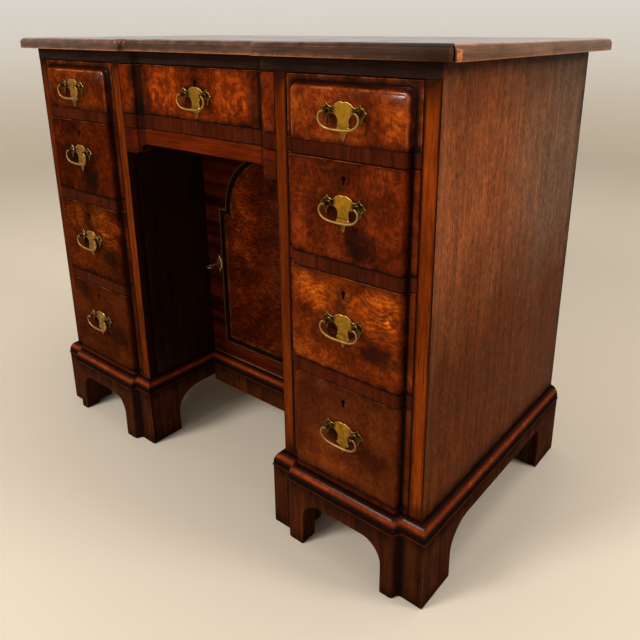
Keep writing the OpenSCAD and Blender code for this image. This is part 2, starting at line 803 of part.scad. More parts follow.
// Key in the lock, its bow level
module key() {
    tip_y = door_y + door_t + door_lock_t - lock_wall - key_clear;
    bit_y = door_y + door_t + lock_wall + key_clear;
    bow_y = door_y - key_reach;
    collar_y = door_y - escutcheon_t - lock_wall;
    color(iron) in_place() translate([key_x, 0, key_z]) {
        difference() {
            union() {
                translate([0, tip_y, 0]) rotate([90, 0, 0])
                    cylinder(r = key_r, h = tip_y - bow_y - bow_eye_r);
                translate([0, bow_y, -bow_t / 2]) cylinder(r = bow_r, h = bow_t);
            }
            translate([0, bow_y, -bow_t / 2 - eps]) cylinder(r = bow_eye_r, h = bow_t + 2 * eps);
        }
        translate([0, collar_y, 0]) rotate([90, 0, 0]) cylinder(r = key_collar_r, h = key_collar_l);
        board([-bit_w / 2, bit_y, -bit_reach], [bit_w / 2, tip_y - key_clear, 0]);
    }
}

// Drawers. A drawer is described by its box: [x0, x1, y of the front's back, y of the box's back, z, height]

function pedestal_box(row) =
    [open_x0 + side_gap, open_x1 - side_gap, front_t, drawer_y1, opening_z[row] + seat_gap,
        opening_h[row] - seat_gap - top_gap];

centre_box = [-knee_x + side_gap, knee_x - side_gap, recess_d + front_t, drawer_y1, top_row_z + seat_gap,
    top_opening_h - seat_gap - top_gap];

apron_box = [-knee_x + side_gap, knee_x - side_gap, recess_d + apron_t, back_y - apron_back_gap,
    apron_z + seat_gap, apron_h - seat_gap - apron_top_gap];

// Elevation of a drawer's side from y0 to y1 and z0 to z1, with dovetails that go tail_l into the front
function side_outline(y0, y1, z0, z1, tail_l) =
    let (n = max(1, round((z1 - z0) / tail_pitch)), pitch = (z1 - z0) / n, root = pitch / 3)
    concat(
        [[y1, z1], [y1, z0], [y0, z0]],
        [for (i = [0:n - 1]) let (z = z0 + (i + 0.5) * pitch)
            each [[y0, z - root], [y0 - tail_l, z - root - tail_flare], [y0 - tail_l, z + root + tail_flare],
                [y0, z + root]]],
        [[y0, z1]]);

// The two sides of a drawer, t thick. They stand past its ends by proud where they are taken out of its front
module drawer_sides(box, side_h, t, face_t, proud = 0) {
    outline = side_outline(box[2], box[3], box[4], box[4] + side_h, face_t * tail_share);
    side_view(box[0] - proud, box[0] + t) polygon(outline);
    side_view(box[1] - t, box[1] + proud) polygon(outline);
}

module drawer_box(box, side_h, t, face_t, bottom_rise, bottom_t) {
    x0 = box[0] + t + glue_line;
    x1 = box[1] - t - glue_line;
    bottom_z = box[4] + bottom_rise;
    drawer_sides(box, side_h, t, face_t);
    board([x0, box[2], bottom_z], [x1, box[3], bottom_z + bottom_t]);
    board([x0, box[3] - t, bottom_z + bottom_t + glue_line], [x1, box[3], box[4] + side_h]);
}

module wooden_box(box) {
    color(oak) in_place()
        drawer_box(box, box[5] - side_drop, drawer_side_t, front_t, drawer_bottom_rise, drawer_bottom_t);
}

// Holes for a handle's posts and the keyhole, and the sockets of the dovetails, to be taken out of a front
module front_holes(box, handle_z, keyhole_z, locked) {
    cx = (box[0] + box[1]) / 2;
    for (s = [-1, 1])
        translate([cx + s * post_gap / 2, back_y, handle_z]) rotate([90, 0, 0])
            cylinder(r = post_r + post_fit, h = back_y + 2 * block_proj);
    if (locked)
        front_view(-2 * block_proj, front_t + recess_d + eps) translate([cx, keyhole_z]) keyhole(bit_reach);
    drawer_sides(box, box[5] - side_drop, drawer_side_t, front_t, eps);
}

module pedestal_front(row) {
    box = pedestal_box(row);
    z = box[4];
    h = box[5];
    z1 = z + h - block_top_strip;
    plan = concat(block_line(box[0], box[1], 0), [[box[1], front_t], [box[0], front_t]]);
    color(burr) in_place() difference() {
        if (row == top_row) {
            board([box[0], 0, z], [box[1], front_t, z + h]);
            intersection() {
                translate([0, 0, z]) linear_extrude(h) polygon(plan);
                side_view(box[0], box[1]) polygon(concat(
                    [[front_t / 2, z], [-block_proj, z]],
                    [for (p = ogee([z1 - block_ogee_w, -block_proj], [z1, 0])) [p[1], p[0]]],
                    [[front_t / 2, z1]]));
                front_view(-block_proj - eps, front_t) block_elevation(z, z1);
            }
        } else translate([0, 0, z]) linear_extrude(h) polygon(plan);
        front_holes(box, opening_z[row] + handle_rise[row], opening_z[row] + opening_h[row] - keyhole_drop,
            row != top_row);
    }
}

// Outline of a top drawer's block seen from the front, with its upper corners rounded
module block_elevation(z0, z1) {
    half = block_half_w + block_ogee_w;
    corner = half - block_corner_r;
    translate([open_cx, 0]) polygon(concat(
        [[-half, z0], [half, z0]],
        [for (a = [0:10:90]) [corner + block_corner_r * cos(a), z1 - block_corner_r * (1 - sin(a))]],
        [for (a = [90:10:180]) [-corner + block_corner_r * cos(a), z1 - block_corner_r * (1 - sin(a))]]));
}

module centre_drawer_front() {
    back = recess_d + front_t;
    box = centre_box;
    face = recess_line(box[1], recess_outer, recess_inner, 0);
    color(burr) in_place() difference() {
        translate([0, 0, box[4]]) linear_extrude(box[5])
            polygon(concat(face, [[box[1], back], [box[0], back]]));
        front_holes(box, top_row_z + handle_rise[top_row], frieze_z - keyhole_drop, true);
    }
}

module apron_drawer_front() {
    x = knee_x - side_gap;
    back = recess_d + apron_t;
    high = apron_top_z - apron_top_gap;
    edge = ogee([apron_curve_outer, apron_tip_z], [apron_curve_inner, apron_z]);
    color(walnut) in_place() difference() {
        intersection() {
            linear_extrude(top_z)
                polygon(concat(recess_line(x, recess_outer, recess_inner, 0), [[x, back], [-x, back]]));
            front_view(-eps, back + eps) polygon(concat(
                [[-x, apron_tip_z]],
                [for (p = edge) [-p[0], p[1]]],
                reversed(edge),
                [[x, apron_tip_z], [x, high], [-x, high]]));
        }
        drawer_sides(apron_box, apron_h - apron_side_drop, apron_board_t, apron_t, eps);
    }
}

module apron_drawer_box() {
    side_h = apron_h - apron_side_drop;
    color(oak) in_place()
        drawer_box(apron_box, side_h, apron_board_t, apron_t, apron_bottom_rise, apron_board_t);
}

// Handles and locks

// Right half of the backplate from its top to the tip of its drop
plate_half = [[4, 12.6], [9, 12], [14, 9.4], [19, 6.2], [23, 6.6], [28, 11], [30, 6.6], [34, 4], [39.5, -0.5],
    [34, -4], [30.6, -8], [29, -13], [26.5, -17], [18, -15], [8, -19], [12, -22.5], [8, -26], [3.6, -29.5],
    [2.8, -34]];
plate_top = [0, 11];
plate_tip = [0, -38];
plate_cut_x = 18.2;
plate_cut_z = -12.5;
plate_cut_r = 9.3;

module plate_shape() {
    difference() {
        polygon(concat([plate_top], plate_half, [plate_tip],
            [for (p = reversed(plate_half)) [-p[0], p[1]]]));
        for (s = [-1, 1]) {
            translate([s * plate_cut_x, plate_cut_z]) circle(plate_cut_r);
            translate([s * post_gap / 2, 0]) circle(post_r + running_gap);
        }
    }
}

// A post standing on the plate along +Z: shank through the wood, collar, neck and bored head
module post(wood_t) {
    seat = plate_t + running_gap;
    foot = -wood_t - nut_t - thread_l;
    collar_z = plate_t + collar_t;
    axis_z = plate_t + bail_stand;
    difference() {
        union() {
            rotate_extrude() polygon([[0, foot], [post_r, foot], [post_r, seat], [collar_r, seat],
                [collar_r, collar_z], [neck_r, collar_z + collar_r - neck_r], [neck_r, axis_z], [0, axis_z]]);
            translate([0, 0, axis_z]) sphere(post_head_r);
        }
        translate([-collar_r, 0, axis_z]) rotate([0, 90, 0])
            cylinder(r = bail_pin_r + running_gap, h = 2 * collar_r);
    }
}

module nut(wood_t) {
    translate([0, 0, -wood_t - nut_t]) linear_extrude(nut_t) difference() {
        square(nut_w, center = true);
        circle(post_r + running_gap);
    }
}

// Backplate, posts and nuts at the front face face_y, and the lock behind a front that has a keyhole
module fittings(cx, face_y, wood_t, handle_z, keyhole_z, locked) {
    color(brass) in_place() {
        translate([cx, face_y, handle_z]) rotate([90, 0, 0]) {
            linear_extrude(plate_t) plate_shape();
            for (s = [-1, 1]) translate([s * post_gap / 2, 0, 0]) {
                post(wood_t);
                nut(wood_t);
            }
        }
        if (locked) drawer_lock(cx, face_y + wood_t, keyhole_z);
    }
}

module drawer_lock(cx, y, z) {
    translate([cx, 0, z]) difference() {
        board([-drawer_lock_w / 2, y, -drawer_lock_h / 2],
            [drawer_lock_w / 2, y + drawer_lock_t, drawer_lock_h / 2]);
        front_view(y - eps, y + drawer_lock_t - lock_wall) circle(bit_reach + key_clear);
    }
}

module pedestal_fittings(row) {
    fittings(open_cx, pedestal_face_y, block_proj + front_t, opening_z[row] + handle_rise[row],
        opening_z[row] + opening_h[row] - keyhole_drop, row != top_row);
}

function bail_point(t) =
    [bail_w / 2 * sign(cos(t)) * pow(abs(cos(t)), bail_bow), 0, -bail_centre - bail_ry * sin(t)];

function bail_ring(c, along) =
    let (a = [along[2], 0, -along[0]] / norm(along))
    [for (i = [0:bail_sides - 1]) let (w = 360 * (i + 0.5) / bail_sides)
        c + bail_r * (cos(w) * a + sin(w) * [0, 1, 0])];

// Bail hanging from its axis: a drooping D with its ends turned in as pins
module bail(cx, face_y, handle_z) {
    start = -bail_top_angle;
    steps = (180 + 2 * bail_top_angle) / bail_step;
    ends = [bail_point(start), bail_point(180 - start)];
    pin_x = post_gap / 2 - eps;
    color(brass) in_place() translate([cx, face_y - plate_t - bail_stand, handle_z]) {
        skin(concat(
            [bail_ring(ends[0] + [0, 0, bail_end], [0, 0, -1])],
            [for (i = [0:steps]) let (t = start + i * bail_step)
                bail_ring(bail_point(t), bail_point(t + 1) - bail_point(t - 1))],
            [bail_ring(ends[1] + [0, 0, bail_end], [0, 0, 1])]));
        for (s = [-1, 1]) translate([s * pin_x, 0, 0]) rotate([0, s * 90, 0])
            cylinder(r = bail_pin_r, h = ends[0][0] - pin_x);
    }
}

module pedestal_bail(row) { bail(open_cx, pedestal_face_y, opening_z[row] + handle_rise[row]); }

module left() { mirror([1, 0, 0]) children(); }

module right_top_drawer_front() pedestal_front(0);
module right_second_drawer_front() pedestal_front(1);
module right_third_drawer_front() pedestal_front(2);
module right_bottom_drawer_front() pedestal_front(3);
module left_top_drawer_front() left() pedestal_front(0);
module left_second_drawer_front() left() pedestal_front(1);
module left_third_drawer_front() left() pedestal_front(2);
module left_bottom_drawer_front() left() pedestal_front(3);

module right_top_drawer_box() wooden_box(pedestal_box(0));
module right_second_drawer_box() wooden_box(pedestal_box(1));
module right_third_drawer_box() wooden_box(pedestal_box(2));
module right_bottom_drawer_box() wooden_box(pedestal_box(3));
module left_top_drawer_box() left() wooden_box(pedestal_box(0));
module left_second_drawer_box() left() wooden_box(pedestal_box(1));
module left_third_drawer_box() left() wooden_box(pedestal_box(2));
module left_bottom_drawer_box() left() wooden_box(pedestal_box(3));
module centre_drawer_box() wooden_box(centre_box);

module right_top_drawer_fittings() pedestal_fittings(0);
module right_second_drawer_fittings() pedestal_fittings(1);
module right_third_drawer_fittings() pedestal_fittings(2);
module right_bottom_drawer_fittings() pedestal_fittings(3);
module left_top_drawer_fittings() left() pedestal_fittings(0);
module left_second_drawer_fittings() left() pedestal_fittings(1);
module left_third_drawer_fittings() left() pedestal_fittings(2);
module left_bottom_drawer_fittings() left() pedestal_fittings(3);
module centre_drawer_fittings()
    fittings(0, centre_face_y, front_t, top_row_z + handle_rise[top_row], frieze_z - keyhole_drop, true);

module right_top_drawer_bail() pedestal_bail(0);
module right_second_drawer_bail() pedestal_bail(1);
module right_third_drawer_bail() pedestal_bail(2);
module right_bottom_drawer_bail() pedestal_bail(3);
module left_top_drawer_bail() left() pedestal_bail(0);
module left_second_drawer_bail() left() pedestal_bail(1);
module left_third_drawer_bail() left() pedestal_bail(2);
module left_bottom_drawer_bail() left() pedestal_bail(3);
module centre_drawer_bail() bail(0, centre_face_y, top_row_z + handle_rise[top_row]);

top_board();
frieze_rail();
end_panels();
knee_sides();
stiles();
drawer_rails();
centre_rail();
dustboards();
back_boards();
base_mouldings();
pedestal_plinths();
cupboard_plinth();
foot_blocks();
cupboard_boards();
cupboard_head_rail();
cupboard_shelf();
door_hinges();
door_frame();
door_panel();
door_lock();
door_hinge_leaves();
key();
apron_drawer_front();
apron_drawer_box();
left_top_drawer_front();
left_top_drawer_box();
left_top_drawer_fittings();
left_top_drawer_bail();
left_second_drawer_front();
left_second_drawer_box();
left_second_drawer_fittings();
left_second_drawer_bail();
left_third_drawer_front();
left_third_drawer_box();
left_third_drawer_fittings();
left_third_drawer_bail();
left_bottom_drawer_front();
left_bottom_drawer_box();
left_bottom_drawer_fittings();
left_bottom_drawer_bail();
right_top_drawer_front();
right_top_drawer_box();
right_top_drawer_fittings();
right_top_drawer_bail();
right_second_drawer_front();
right_second_drawer_box();
right_second_drawer_fittings();
right_second_drawer_bail();
right_third_drawer_front();
right_third_drawer_box();
right_third_drawer_fittings();
right_third_drawer_bail();
right_bottom_drawer_front();
right_bottom_drawer_box();
right_bottom_drawer_fittings();
right_bottom_drawer_bail();
centre_drawer_front();
centre_drawer_box();
centre_drawer_fittings();
centre_drawer_bail();
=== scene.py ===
import bpy
import bmesh
import json
import math
import numpy as np
from mathutils import Matrix, Vector
from mathutils.geometry import delaunay_2d_cdt


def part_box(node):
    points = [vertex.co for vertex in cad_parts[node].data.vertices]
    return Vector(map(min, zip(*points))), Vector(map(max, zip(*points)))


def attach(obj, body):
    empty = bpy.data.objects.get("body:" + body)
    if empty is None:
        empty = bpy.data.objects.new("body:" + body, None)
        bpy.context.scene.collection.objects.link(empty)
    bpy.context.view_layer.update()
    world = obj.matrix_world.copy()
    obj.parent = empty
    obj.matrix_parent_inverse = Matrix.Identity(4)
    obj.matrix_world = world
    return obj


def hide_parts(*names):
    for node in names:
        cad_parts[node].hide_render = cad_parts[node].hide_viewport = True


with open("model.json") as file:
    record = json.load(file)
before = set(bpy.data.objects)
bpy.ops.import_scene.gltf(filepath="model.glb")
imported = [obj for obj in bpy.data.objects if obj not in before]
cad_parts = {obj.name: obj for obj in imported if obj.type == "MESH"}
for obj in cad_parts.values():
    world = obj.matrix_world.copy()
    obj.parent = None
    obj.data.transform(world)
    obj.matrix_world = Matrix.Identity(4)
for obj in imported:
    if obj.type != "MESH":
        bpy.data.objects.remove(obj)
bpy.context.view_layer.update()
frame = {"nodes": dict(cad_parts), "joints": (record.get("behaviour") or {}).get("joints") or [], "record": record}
nodes = frame["nodes"]
slots = {part["node"]: part["material_slot"] for part in frame["record"]["subparts"]}
scene = bpy.context.scene
mm = 0.001
far = 9.0  # further than any part of the desk
print("frame loaded:", len(nodes), "nodes")


def boxOf(name):
    low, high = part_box(name)
    return np.array(low), np.array(high)


stileLow, stileHigh = boxOf("stiles")
faceY = stileLow[1]  # front face of the stiles
caseX = stileHigh[0]  # outer face of the end panels
kneeX = boxOf("centre_rail")[1][0]  # half the width between the pedestals
doorLow, doorHigh = boxOf("door_frame")
frontLow, frontHigh = boxOf("right_second_drawer_front")
openCx = (frontLow[0] + frontHigh[0]) / 2  # middle of the right pedestal's drawers
sideGap = 0.75 * mm  # between a drawer front and its opening
openHalf = (frontHigh[0] - frontLow[0]) / 2 + sideGap
sides = {"left": -1, "right": 1}
rowNames = ["top", "second", "third", "bottom"]
axisHeights = {joint["child"]: joint["pos_m"][2] for joint in frame["joints"]
               if joint["name"].endswith("bail_swing")}
keyX, _, keyZ = next(joint["pos_m"] for joint in frame["joints"] if joint["child"] == "key")

block = {
    "proud": faceY - frontLow[1],
    "halfWidth": openHalf - 18.5 * mm,
    "ogee": 10 * mm,
    "narrowing": 0.4,  # what the field loses for each unit that a moulding stands out
    "footSpread": 0.75,  # what the foot of the ogee gains for it
    "topStrip": 7.5 * mm,
    "cornerRadius": 14 * mm,
}
recess = {"deep": 12.5 * mm, "outer": kneeX - 15 * mm, "inner": kneeX - 47 * mm}


def coords(*values):
    # points from their coordinates, where a single number counts for all of them
    return np.stack(np.broadcast_arrays(*values), -1).astype(float)


def quarter(steps):
    return np.linspace(0, np.pi / 2, steps)


def unit(vectors):
    return vectors / (np.linalg.norm(vectors, axis=-1, keepdims=True) + 1e-12)


def ogeeCurve(proud, deep, steps=11):
    # an S: a quarter round from the proud point to the middle, then a quarter cove to the deep point
    a = quarter(steps)
    proud, deep = np.array(proud, float), np.array(deep, float)
    half = (deep - proud) / 2
    roundPart = proud + half * coords(np.sin(a), 1 - np.cos(a))
    covePart = proud + half + half * coords(1 - np.cos(a), np.sin(a))
    return np.concatenate([roundPart, covePart[1:]])


def stations(start, end, count=5):
    # even steps between two places, with closer ones at 2, 5 and 9 mm from both
    close = np.array([2, 5, 9]) * mm
    even = np.linspace(start + 18 * mm, end - 18 * mm, count)
    return np.concatenate([start + close, even, end - close[::-1]])


def blockLine(x0, x1, out, centre):
    # a pedestal's plan from x0 to x1, out in front of the stiles: flat, ogee, proud field, ogee, flat
    half = block["halfWidth"] + block["narrowing"] * out
    foot = block["halfWidth"] + block["ogee"] + block["footSpread"] * out
    flatY, proudY = faceY - out, faceY - out - block["proud"]
    leftS = ogeeCurve([centre - half, proudY], [centre - foot, flatY])[::-1]
    rightS = ogeeCurve([centre + half, proudY], [centre + foot, flatY])
    middle = coords(stations(centre - half, centre + half), proudY)
    leftFlat = [x0] + [x for x in (centre - foot - 5 * mm, centre - foot - 2 * mm) if x > x0 + 1 * mm]
    rightFlat = [x for x in (centre + foot + 2 * mm, centre + foot + 5 * mm) if x < x1 - 1 * mm] + [x1]
    return np.concatenate([coords(leftFlat, flatY), leftS, middle, rightS, coords(rightFlat, flatY)])


def recessLine(halfWidth, outer=recess["outer"], inner=recess["inner"], y=faceY):
    # the plan of the set-back centre: flat, ogee going back, straight middle, ogee coming forward, flat
    leftS = ogeeCurve([-outer, y], [-inner, y + recess["deep"]])
    middle = coords(stations(-inner, inner, 9), y + recess["deep"])
    end = min(1.5 * mm, (halfWidth - outer) / 2)
    leftFlat, rightFlat = coords([-halfWidth, end - halfWidth], y), coords([halfWidth - end, halfWidth], y)
    return np.concatenate([leftFlat, leftS, middle, leftS[::-1] * [-1, 1], rightFlat])


def roundedEnds(line, radius):
    # the line with a quarter circle at each end that turns it to the back
    a = quarter(4)
    start = line[0] + radius * coords(1 - np.cos(a), 1 - np.sin(a))
    end = line[-1] + radius * coords(np.cos(a) - 1, 1 - np.sin(a))
    return np.concatenate([start, line[1:-1], end[::-1]])


def normalsOf(line):
    # unit normals on the left of the line's direction
    along = unit(np.gradient(line, axis=0))
    return coords(-along[:, 1], along[:, 0])


def coveDirtAndShade(line, reach=1.6 * mm):
    # painted shade with dirt: full in the coves of a front line, rising along each ogee and fading out over the
    # low flats
    depth = (line[:, 1] - line[:, 1].min()) / max(np.ptp(line[:, 1]), 1e-9)
    share = np.clip((depth - 0.45) / 0.4, 0, 1)
    onSlope = line[(depth > 0.6) & (depth < 0.99), 0]
    if len(onSlope) == 0:
        return np.zeros(len(line))
    gap = np.abs(line[:, :1] - onSlope).min(1)
    return np.where(depth < 0.99, share * share * (3 - 2 * share), np.exp(-gap / reach))


def gridFaces(rows, columns, wrapRows=False, wrapColumns=False):
    # quads between neighbours of a grid of points numbered row by row
    i, j = np.arange(rows - (not wrapRows))[:, None], np.arange(columns - (not wrapColumns))
    k, m = (i + 1) % rows, (j + 1) % columns
    quads = np.stack([i * columns + j, k * columns + j, k * columns + m, i * columns + m], -1)
    return quads.reshape(-1, 4).tolist()


def newPiece(name, points, faces, **masks):
    # a mesh object at the origin with outward faces; points may come in rings, and each mask becomes a float
    # attribute, with one value for all points, one for each ring or one for each point
    points = np.asarray(points, float)
    mesh = bpy.data.meshes.new(name)
    mesh.from_pydata(points.reshape(-1, 3).tolist(), [], faces)
    for mask, values in masks.items():
        values = np.asarray(values, np.float32)
        values = values.reshape(values.shape + (1,) * (points.ndim - 1 - values.ndim))
        attribute = mesh.attributes.new(mask, "FLOAT", "POINT")
        attribute.data.foreach_set("value", np.broadcast_to(values, points.shape[:-1]).ravel())
    work = bmesh.new()
    work.from_mesh(mesh)
    bmesh.ops.remove_doubles(work, verts=work.verts, dist=1e-7)
    bmesh.ops.recalc_face_normals(work, faces=work.faces)
    work.to_mesh(mesh)
    work.free()
    creased(mesh)
    return placed(name, mesh)


def ringedBody(name, rings, **masks):
    # closed rings of equal count joined one to the next, the first and last filled flat
    count, size = np.shape(rings)[:2]
    faces = gridFaces(count, size, wrapColumns=True)
    faces += [list(range(size))[::-1], list(range((count - 1) * size, count * size))]
    return newPiece(name, rings, faces, **masks)


def creased(mesh, angle=math.radians(38)):
    mesh.shade_smooth()
    mesh.set_sharp_from_angle(angle=angle)


def evenNormals(mesh):
    # each point's normal is the sum of its faces' normals times their areas, so wide flats stay flat
    mesh.shade_smooth()
    corners, sizes = np.empty(len(mesh.loops), np.int32), np.empty(len(mesh.polygons), np.int32)
    normals, areas = np.empty((len(mesh.polygons), 3), np.float32), np.empty(len(mesh.polygons), np.float32)
    mesh.loops.foreach_get("vertex_index", corners)
    mesh.polygons.foreach_get("loop_total", sizes)
    mesh.polygons.foreach_get("normal", normals.ravel())
    mesh.polygons.foreach_get("area", areas)
    total = np.zeros((len(mesh.vertices), 3))
    np.add.at(total, corners, np.repeat(normals * areas[:, None], sizes, 0))
    mesh.normals_split_custom_set_from_vertices(unit(total).tolist())


def placed(name, mesh):
    piece = bpy.data.objects.new(name, mesh)
    scene.collection.objects.link(piece)
    return piece


def merged(name, parts):
    # several pieces as one object, with their masks kept
    with bpy.context.temp_override(active_object=parts[0], selected_editable_objects=parts):
        bpy.ops.object.join()
    parts[0].name = parts[0].data.name = name
    return parts[0]


def carvedBoard(name, line, backY, low, high, arris=0.8 * mm, dirtAndShade=0.0, furtherDirtAndShade=0.0, worn=(0.3, 0.5),
                ends=0):
    # a section carried along the front line: lower arris, face, upper arris, then two corners at the back;
    # the dirt strength lays dirt and painted shade in the line's coves, furtherDirtAndShade lays painted shade
    # anywhere along it, and worn is wear with a painted highlight for the lower and the upper arris, and at each
    # end that many points take their cove shade from the next one inwards
    count = len(line)
    low, high, backY = (np.broadcast_to(value, count) for value in (low, high, backY))
    a = quarter(5)
    shares = np.array([0.02, 0.06, 0.14, 0.3, 0.5, 0.7, 0.86, 0.94, 0.98])  # the rows of the face
    inset = np.concatenate([arris * (1 - np.sin(a)), 0 * shares, arris * (1 - np.cos(a))])
    lift = np.concatenate([arris * (1 - np.cos(a)), 0 * shares, -arris * (1 - np.sin(a))])
    height = low[:, None] + np.concatenate([0 * a, shares, 0 * a + 1]) * (high - low)[:, None] + lift
    across = line[:, None, :] + normalsOf(line)[:, None, :] * inset[:, None]
    front = np.concatenate([across, height[:, :, None]], 2)
    back = np.stack([coords(line[:, 0], backY, z) for z in (high, low)], 1)
    # rubbed: wear on the arrises, whose lighter upper arris stands as a painted highlight
    rubbedAndLit = np.concatenate([worn[0] * np.sin(2 * a), 0 * shares, worn[1] * np.sin(2 * a), [0, 0]])
    # edge: dirt and painted shade near the lower and upper arrises, where the face meets the gaps
    edge = np.concatenate([0 * a + 1, np.exp(-np.minimum(shares, 1 - shares) / 0.05), 0 * a + 1, [0, 0]])
    coves = np.pad(coveDirtAndShade(line[ends:count - ends]), ends, "edge")
    grime = np.clip((dirtAndShade * coves + furtherDirtAndShade)[:, None] + 0.35 * edge, 0, 1)
    return ringedBody(name, np.concatenate([front, back], 1), wear=np.tile(rubbedAndLit, (count, 1)), grime=grime)


def softened(source, width, segments=2, name=None, keepBehind=None, joints=()):
    # a copy of a node merged, its flat faces joined into one each, and its arrises rounded to that width,
    # but for the edges in the planes of joints, each given as its axis and its place on it
    work = bmesh.new()
    work.from_mesh(nodes[source].data)
    bmesh.ops.remove_doubles(work, verts=work.verts, dist=2e-6)
    if keepBehind is not None:
        front = [v for solid in solidsOf(work) if min(v.co.y for v in solid) < keepBehind for v in solid]
        bmesh.ops.delete(work, geom=front, context="VERTS")
    bmesh.ops.dissolve_limit(work, angle_limit=math.radians(0.4), verts=work.verts, edges=work.edges)
    markBoards(work)
    arrises = [e for e in work.edges if len(e.link_faces) == 2 and e.calc_face_angle(0) > math.radians(28)
               and not any(all(abs(v.co[axis] - at) < 0.3 * mm for v in e.verts) for axis, at in joints)]
    cut = bmesh.ops.bevel(work, geom=arrises, offset=width, offset_type="OFFSET", segments=segments,
                          profile=0.5, affect="EDGES", clamp_overlap=True)
    rounded = set(cut["faces"])
    worn = [float(all(f in rounded for f in v.link_faces)) for v in work.verts]
    bmesh.ops.triangulate(work, faces=[f for f in work.faces if len(f.verts) > 4])
    mesh = bpy.data.meshes.new(name or source + "_piece")
    work.to_mesh(mesh)
    work.free()
    mesh.attributes.new("wear", "FLOAT", "POINT").data.foreach_set("value", np.array(worn, np.float32))
    evenNormals(mesh)
    return placed(mesh.name, mesh)


def solidsOf(work):
    # the sets of points of the separate solids, in the order of their lowest points
    left, solids = set(work.verts), []
    while left:
        solid, border = set(), [left.pop()]
        while border:
            v = border.pop()
            solid.add(v)
            fresh = [e.other_vert(v) for e in v.link_edges if e.other_vert(v) in left]
            left.difference_update(fresh)
            border += fresh
        solids.append(solid)
    return sorted(solids, key=lambda solid: min((*v.co,) for v in solid))


def markBoards(work):
    # marks every separate board: 1 where it is longer along Y than along X, and a tint of its own
    lengthwise, tint = (work.verts.layers.float.new(name) for name in ("lengthwise", "tint"))
    for k, solid in enumerate(solidsOf(work)):
        size = np.ptp([v.co for v in solid], axis=0)
        for v in solid:
            v[lengthwise] = float(size[1] > size[0])
            v[tint] = (k * 0.618) % 1


def insideOf(points, outline):
    # even-odd rule: a point is inside where a ray to its right crosses the outline an odd number of times
    start, end = outline, np.roll(outline, -1, 0)
    x, y = points[:, :1], points[:, 1:]
    crosses = (start[:, 1] > y) != (end[:, 1] > y)
    slope = (end[:, 0] - start[:, 0]) / np.where(end[:, 1] == start[:, 1], 1e-12, end[:, 1] - start[:, 1])
    return (crosses & (x < start[:, 0] + (y - start[:, 1]) * slope)).sum(1) % 2 == 1


def gapTo(points, outline):
    # the least distance from each point to the outline's straight pieces
    run = np.roll(outline, -1, 0) - outline
    away = points[:, None, :] - outline
    share = np.clip((away * run).sum(2) / ((run ** 2).sum(1) + 1e-15), 0, 1)
    return np.linalg.norm(away - share[:, :, None] * run, axis=2).min(1)


def platedShape(outline, thickness, rimWidth, rimDrop):
    # a plate in its own plane: its face falls by rimDrop over the rim, as a quarter of an ellipse
    along = unit(np.roll(outline, -1, 0) - np.roll(outline, 1, 0))
    across = coords(-along[:, 1], along[:, 0])
    points = [outline]
    for share in (0.3, 0.65, 1.0, 1.5):  # rings of points inside the outline, in rim widths
        ring = outline + share * rimWidth * across
        points.append(ring[insideOf(ring, outline) & (gapTo(ring, outline) > 0.92 * share * rimWidth)])
    count = len(outline)
    loop = list(range(count))
    made = delaunay_2d_cdt([Vector(p) for p in np.concatenate(points)], [(k, (k + 1) % count) for k in loop],
                           [loop], 1, 1e-9)
    spots, triangles = np.array([tuple(p) for p in made[0]]), [list(face) for face in made[2]]
    fall = 1 - np.clip(gapTo(spots, outline) / rimWidth, 0, 1)
    height = thickness - rimDrop * (1 - np.sqrt(np.clip(1 - fall ** 2, 0, 1)))
    order = [next(k for k, sources in enumerate(made[3]) if start in sources) for start in loop]
    back = len(spots)
    faces = triangles + [[k + back for k in face[::-1]] for face in triangles]
    faces += [[k, m, m + back, k + back] for k, m in zip(order, order[1:] + order[:1])]
    points = np.concatenate([coords(*spots.T, height), coords(*spots.T, 0)])
    # the rim's band is marked for wear, which gives it a pale painted highlight
    return points, faces, np.concatenate([np.exp(-((fall - 0.55) / 0.3) ** 2), np.zeros(back)])


def standUp(points, x, y, z):
    # a shape drawn in its own plane set upright at a front: its face looks forward
    return coords(x + points[:, 0], y - points[:, 2], z + points[:, 1])


def smoothRun(points, steps=5):
    # a curve through the points: each stretch is a cubic whose slopes come from the neighbours
    p = np.asarray(points, float)
    padded = np.concatenate([[2 * p[0] - p[1]], p, [2 * p[-1] - p[-2]]])
    t = np.linspace(0, 1, steps, endpoint=False)[:, None]
    runs = []
    for a, b, c, d in zip(padded, padded[1:], padded[2:], padded[3:]):
        runs.append(0.5 * (2 * b + (c - a) * t + (2 * a - 5 * b + 4 * c - d) * t**2
                           + (3 * b - a - 3 * c + d) * t**3))
    return np.concatenate(runs + [p[-1:]])


def turned(profile, steps=20):
    # a lathe shape: each point (radius, height) of the profile goes round the axis
    radius, height = np.asarray(profile, float).T[:, :, None]
    a = np.linspace(0, 2 * np.pi, steps, endpoint=False)
    points = coords(radius * np.cos(a), radius * np.sin(a), height).reshape(-1, 3)
    return points, gridFaces(len(profile), steps, wrapColumns=True)


def tubeAlong(path, radii, sides=14):
    # rings square to a path in a plane, each with its own radius, with closed ends
    along = unit(np.gradient(path, axis=0))
    a = np.linspace(0, 2 * np.pi, sides, endpoint=False)
    flat = coords(-along[:, 1], along[:, 0])
    ring = path[:, None, :] + radii[:, None, None] * np.cos(a)[:, None] * flat[:, None, :]
    points = np.concatenate([ring, (radii[:, None] * np.sin(a))[:, :, None]], 2).reshape(-1, 3)
    faces = gridFaces(len(path), sides, wrapColumns=True)
    return points, faces + [list(range(sides))[::-1], list(range((len(path) - 1) * sides, len(path) * sides))]


def joinedParts(parts):
    # several (points, faces) lists as one
    points, faces, start = [], [], 0
    for places, quads in parts:
        points.append(places)
        faces += [[k + start for k in face] for face in quads]
        start += len(places)
    return np.concatenate(points), faces


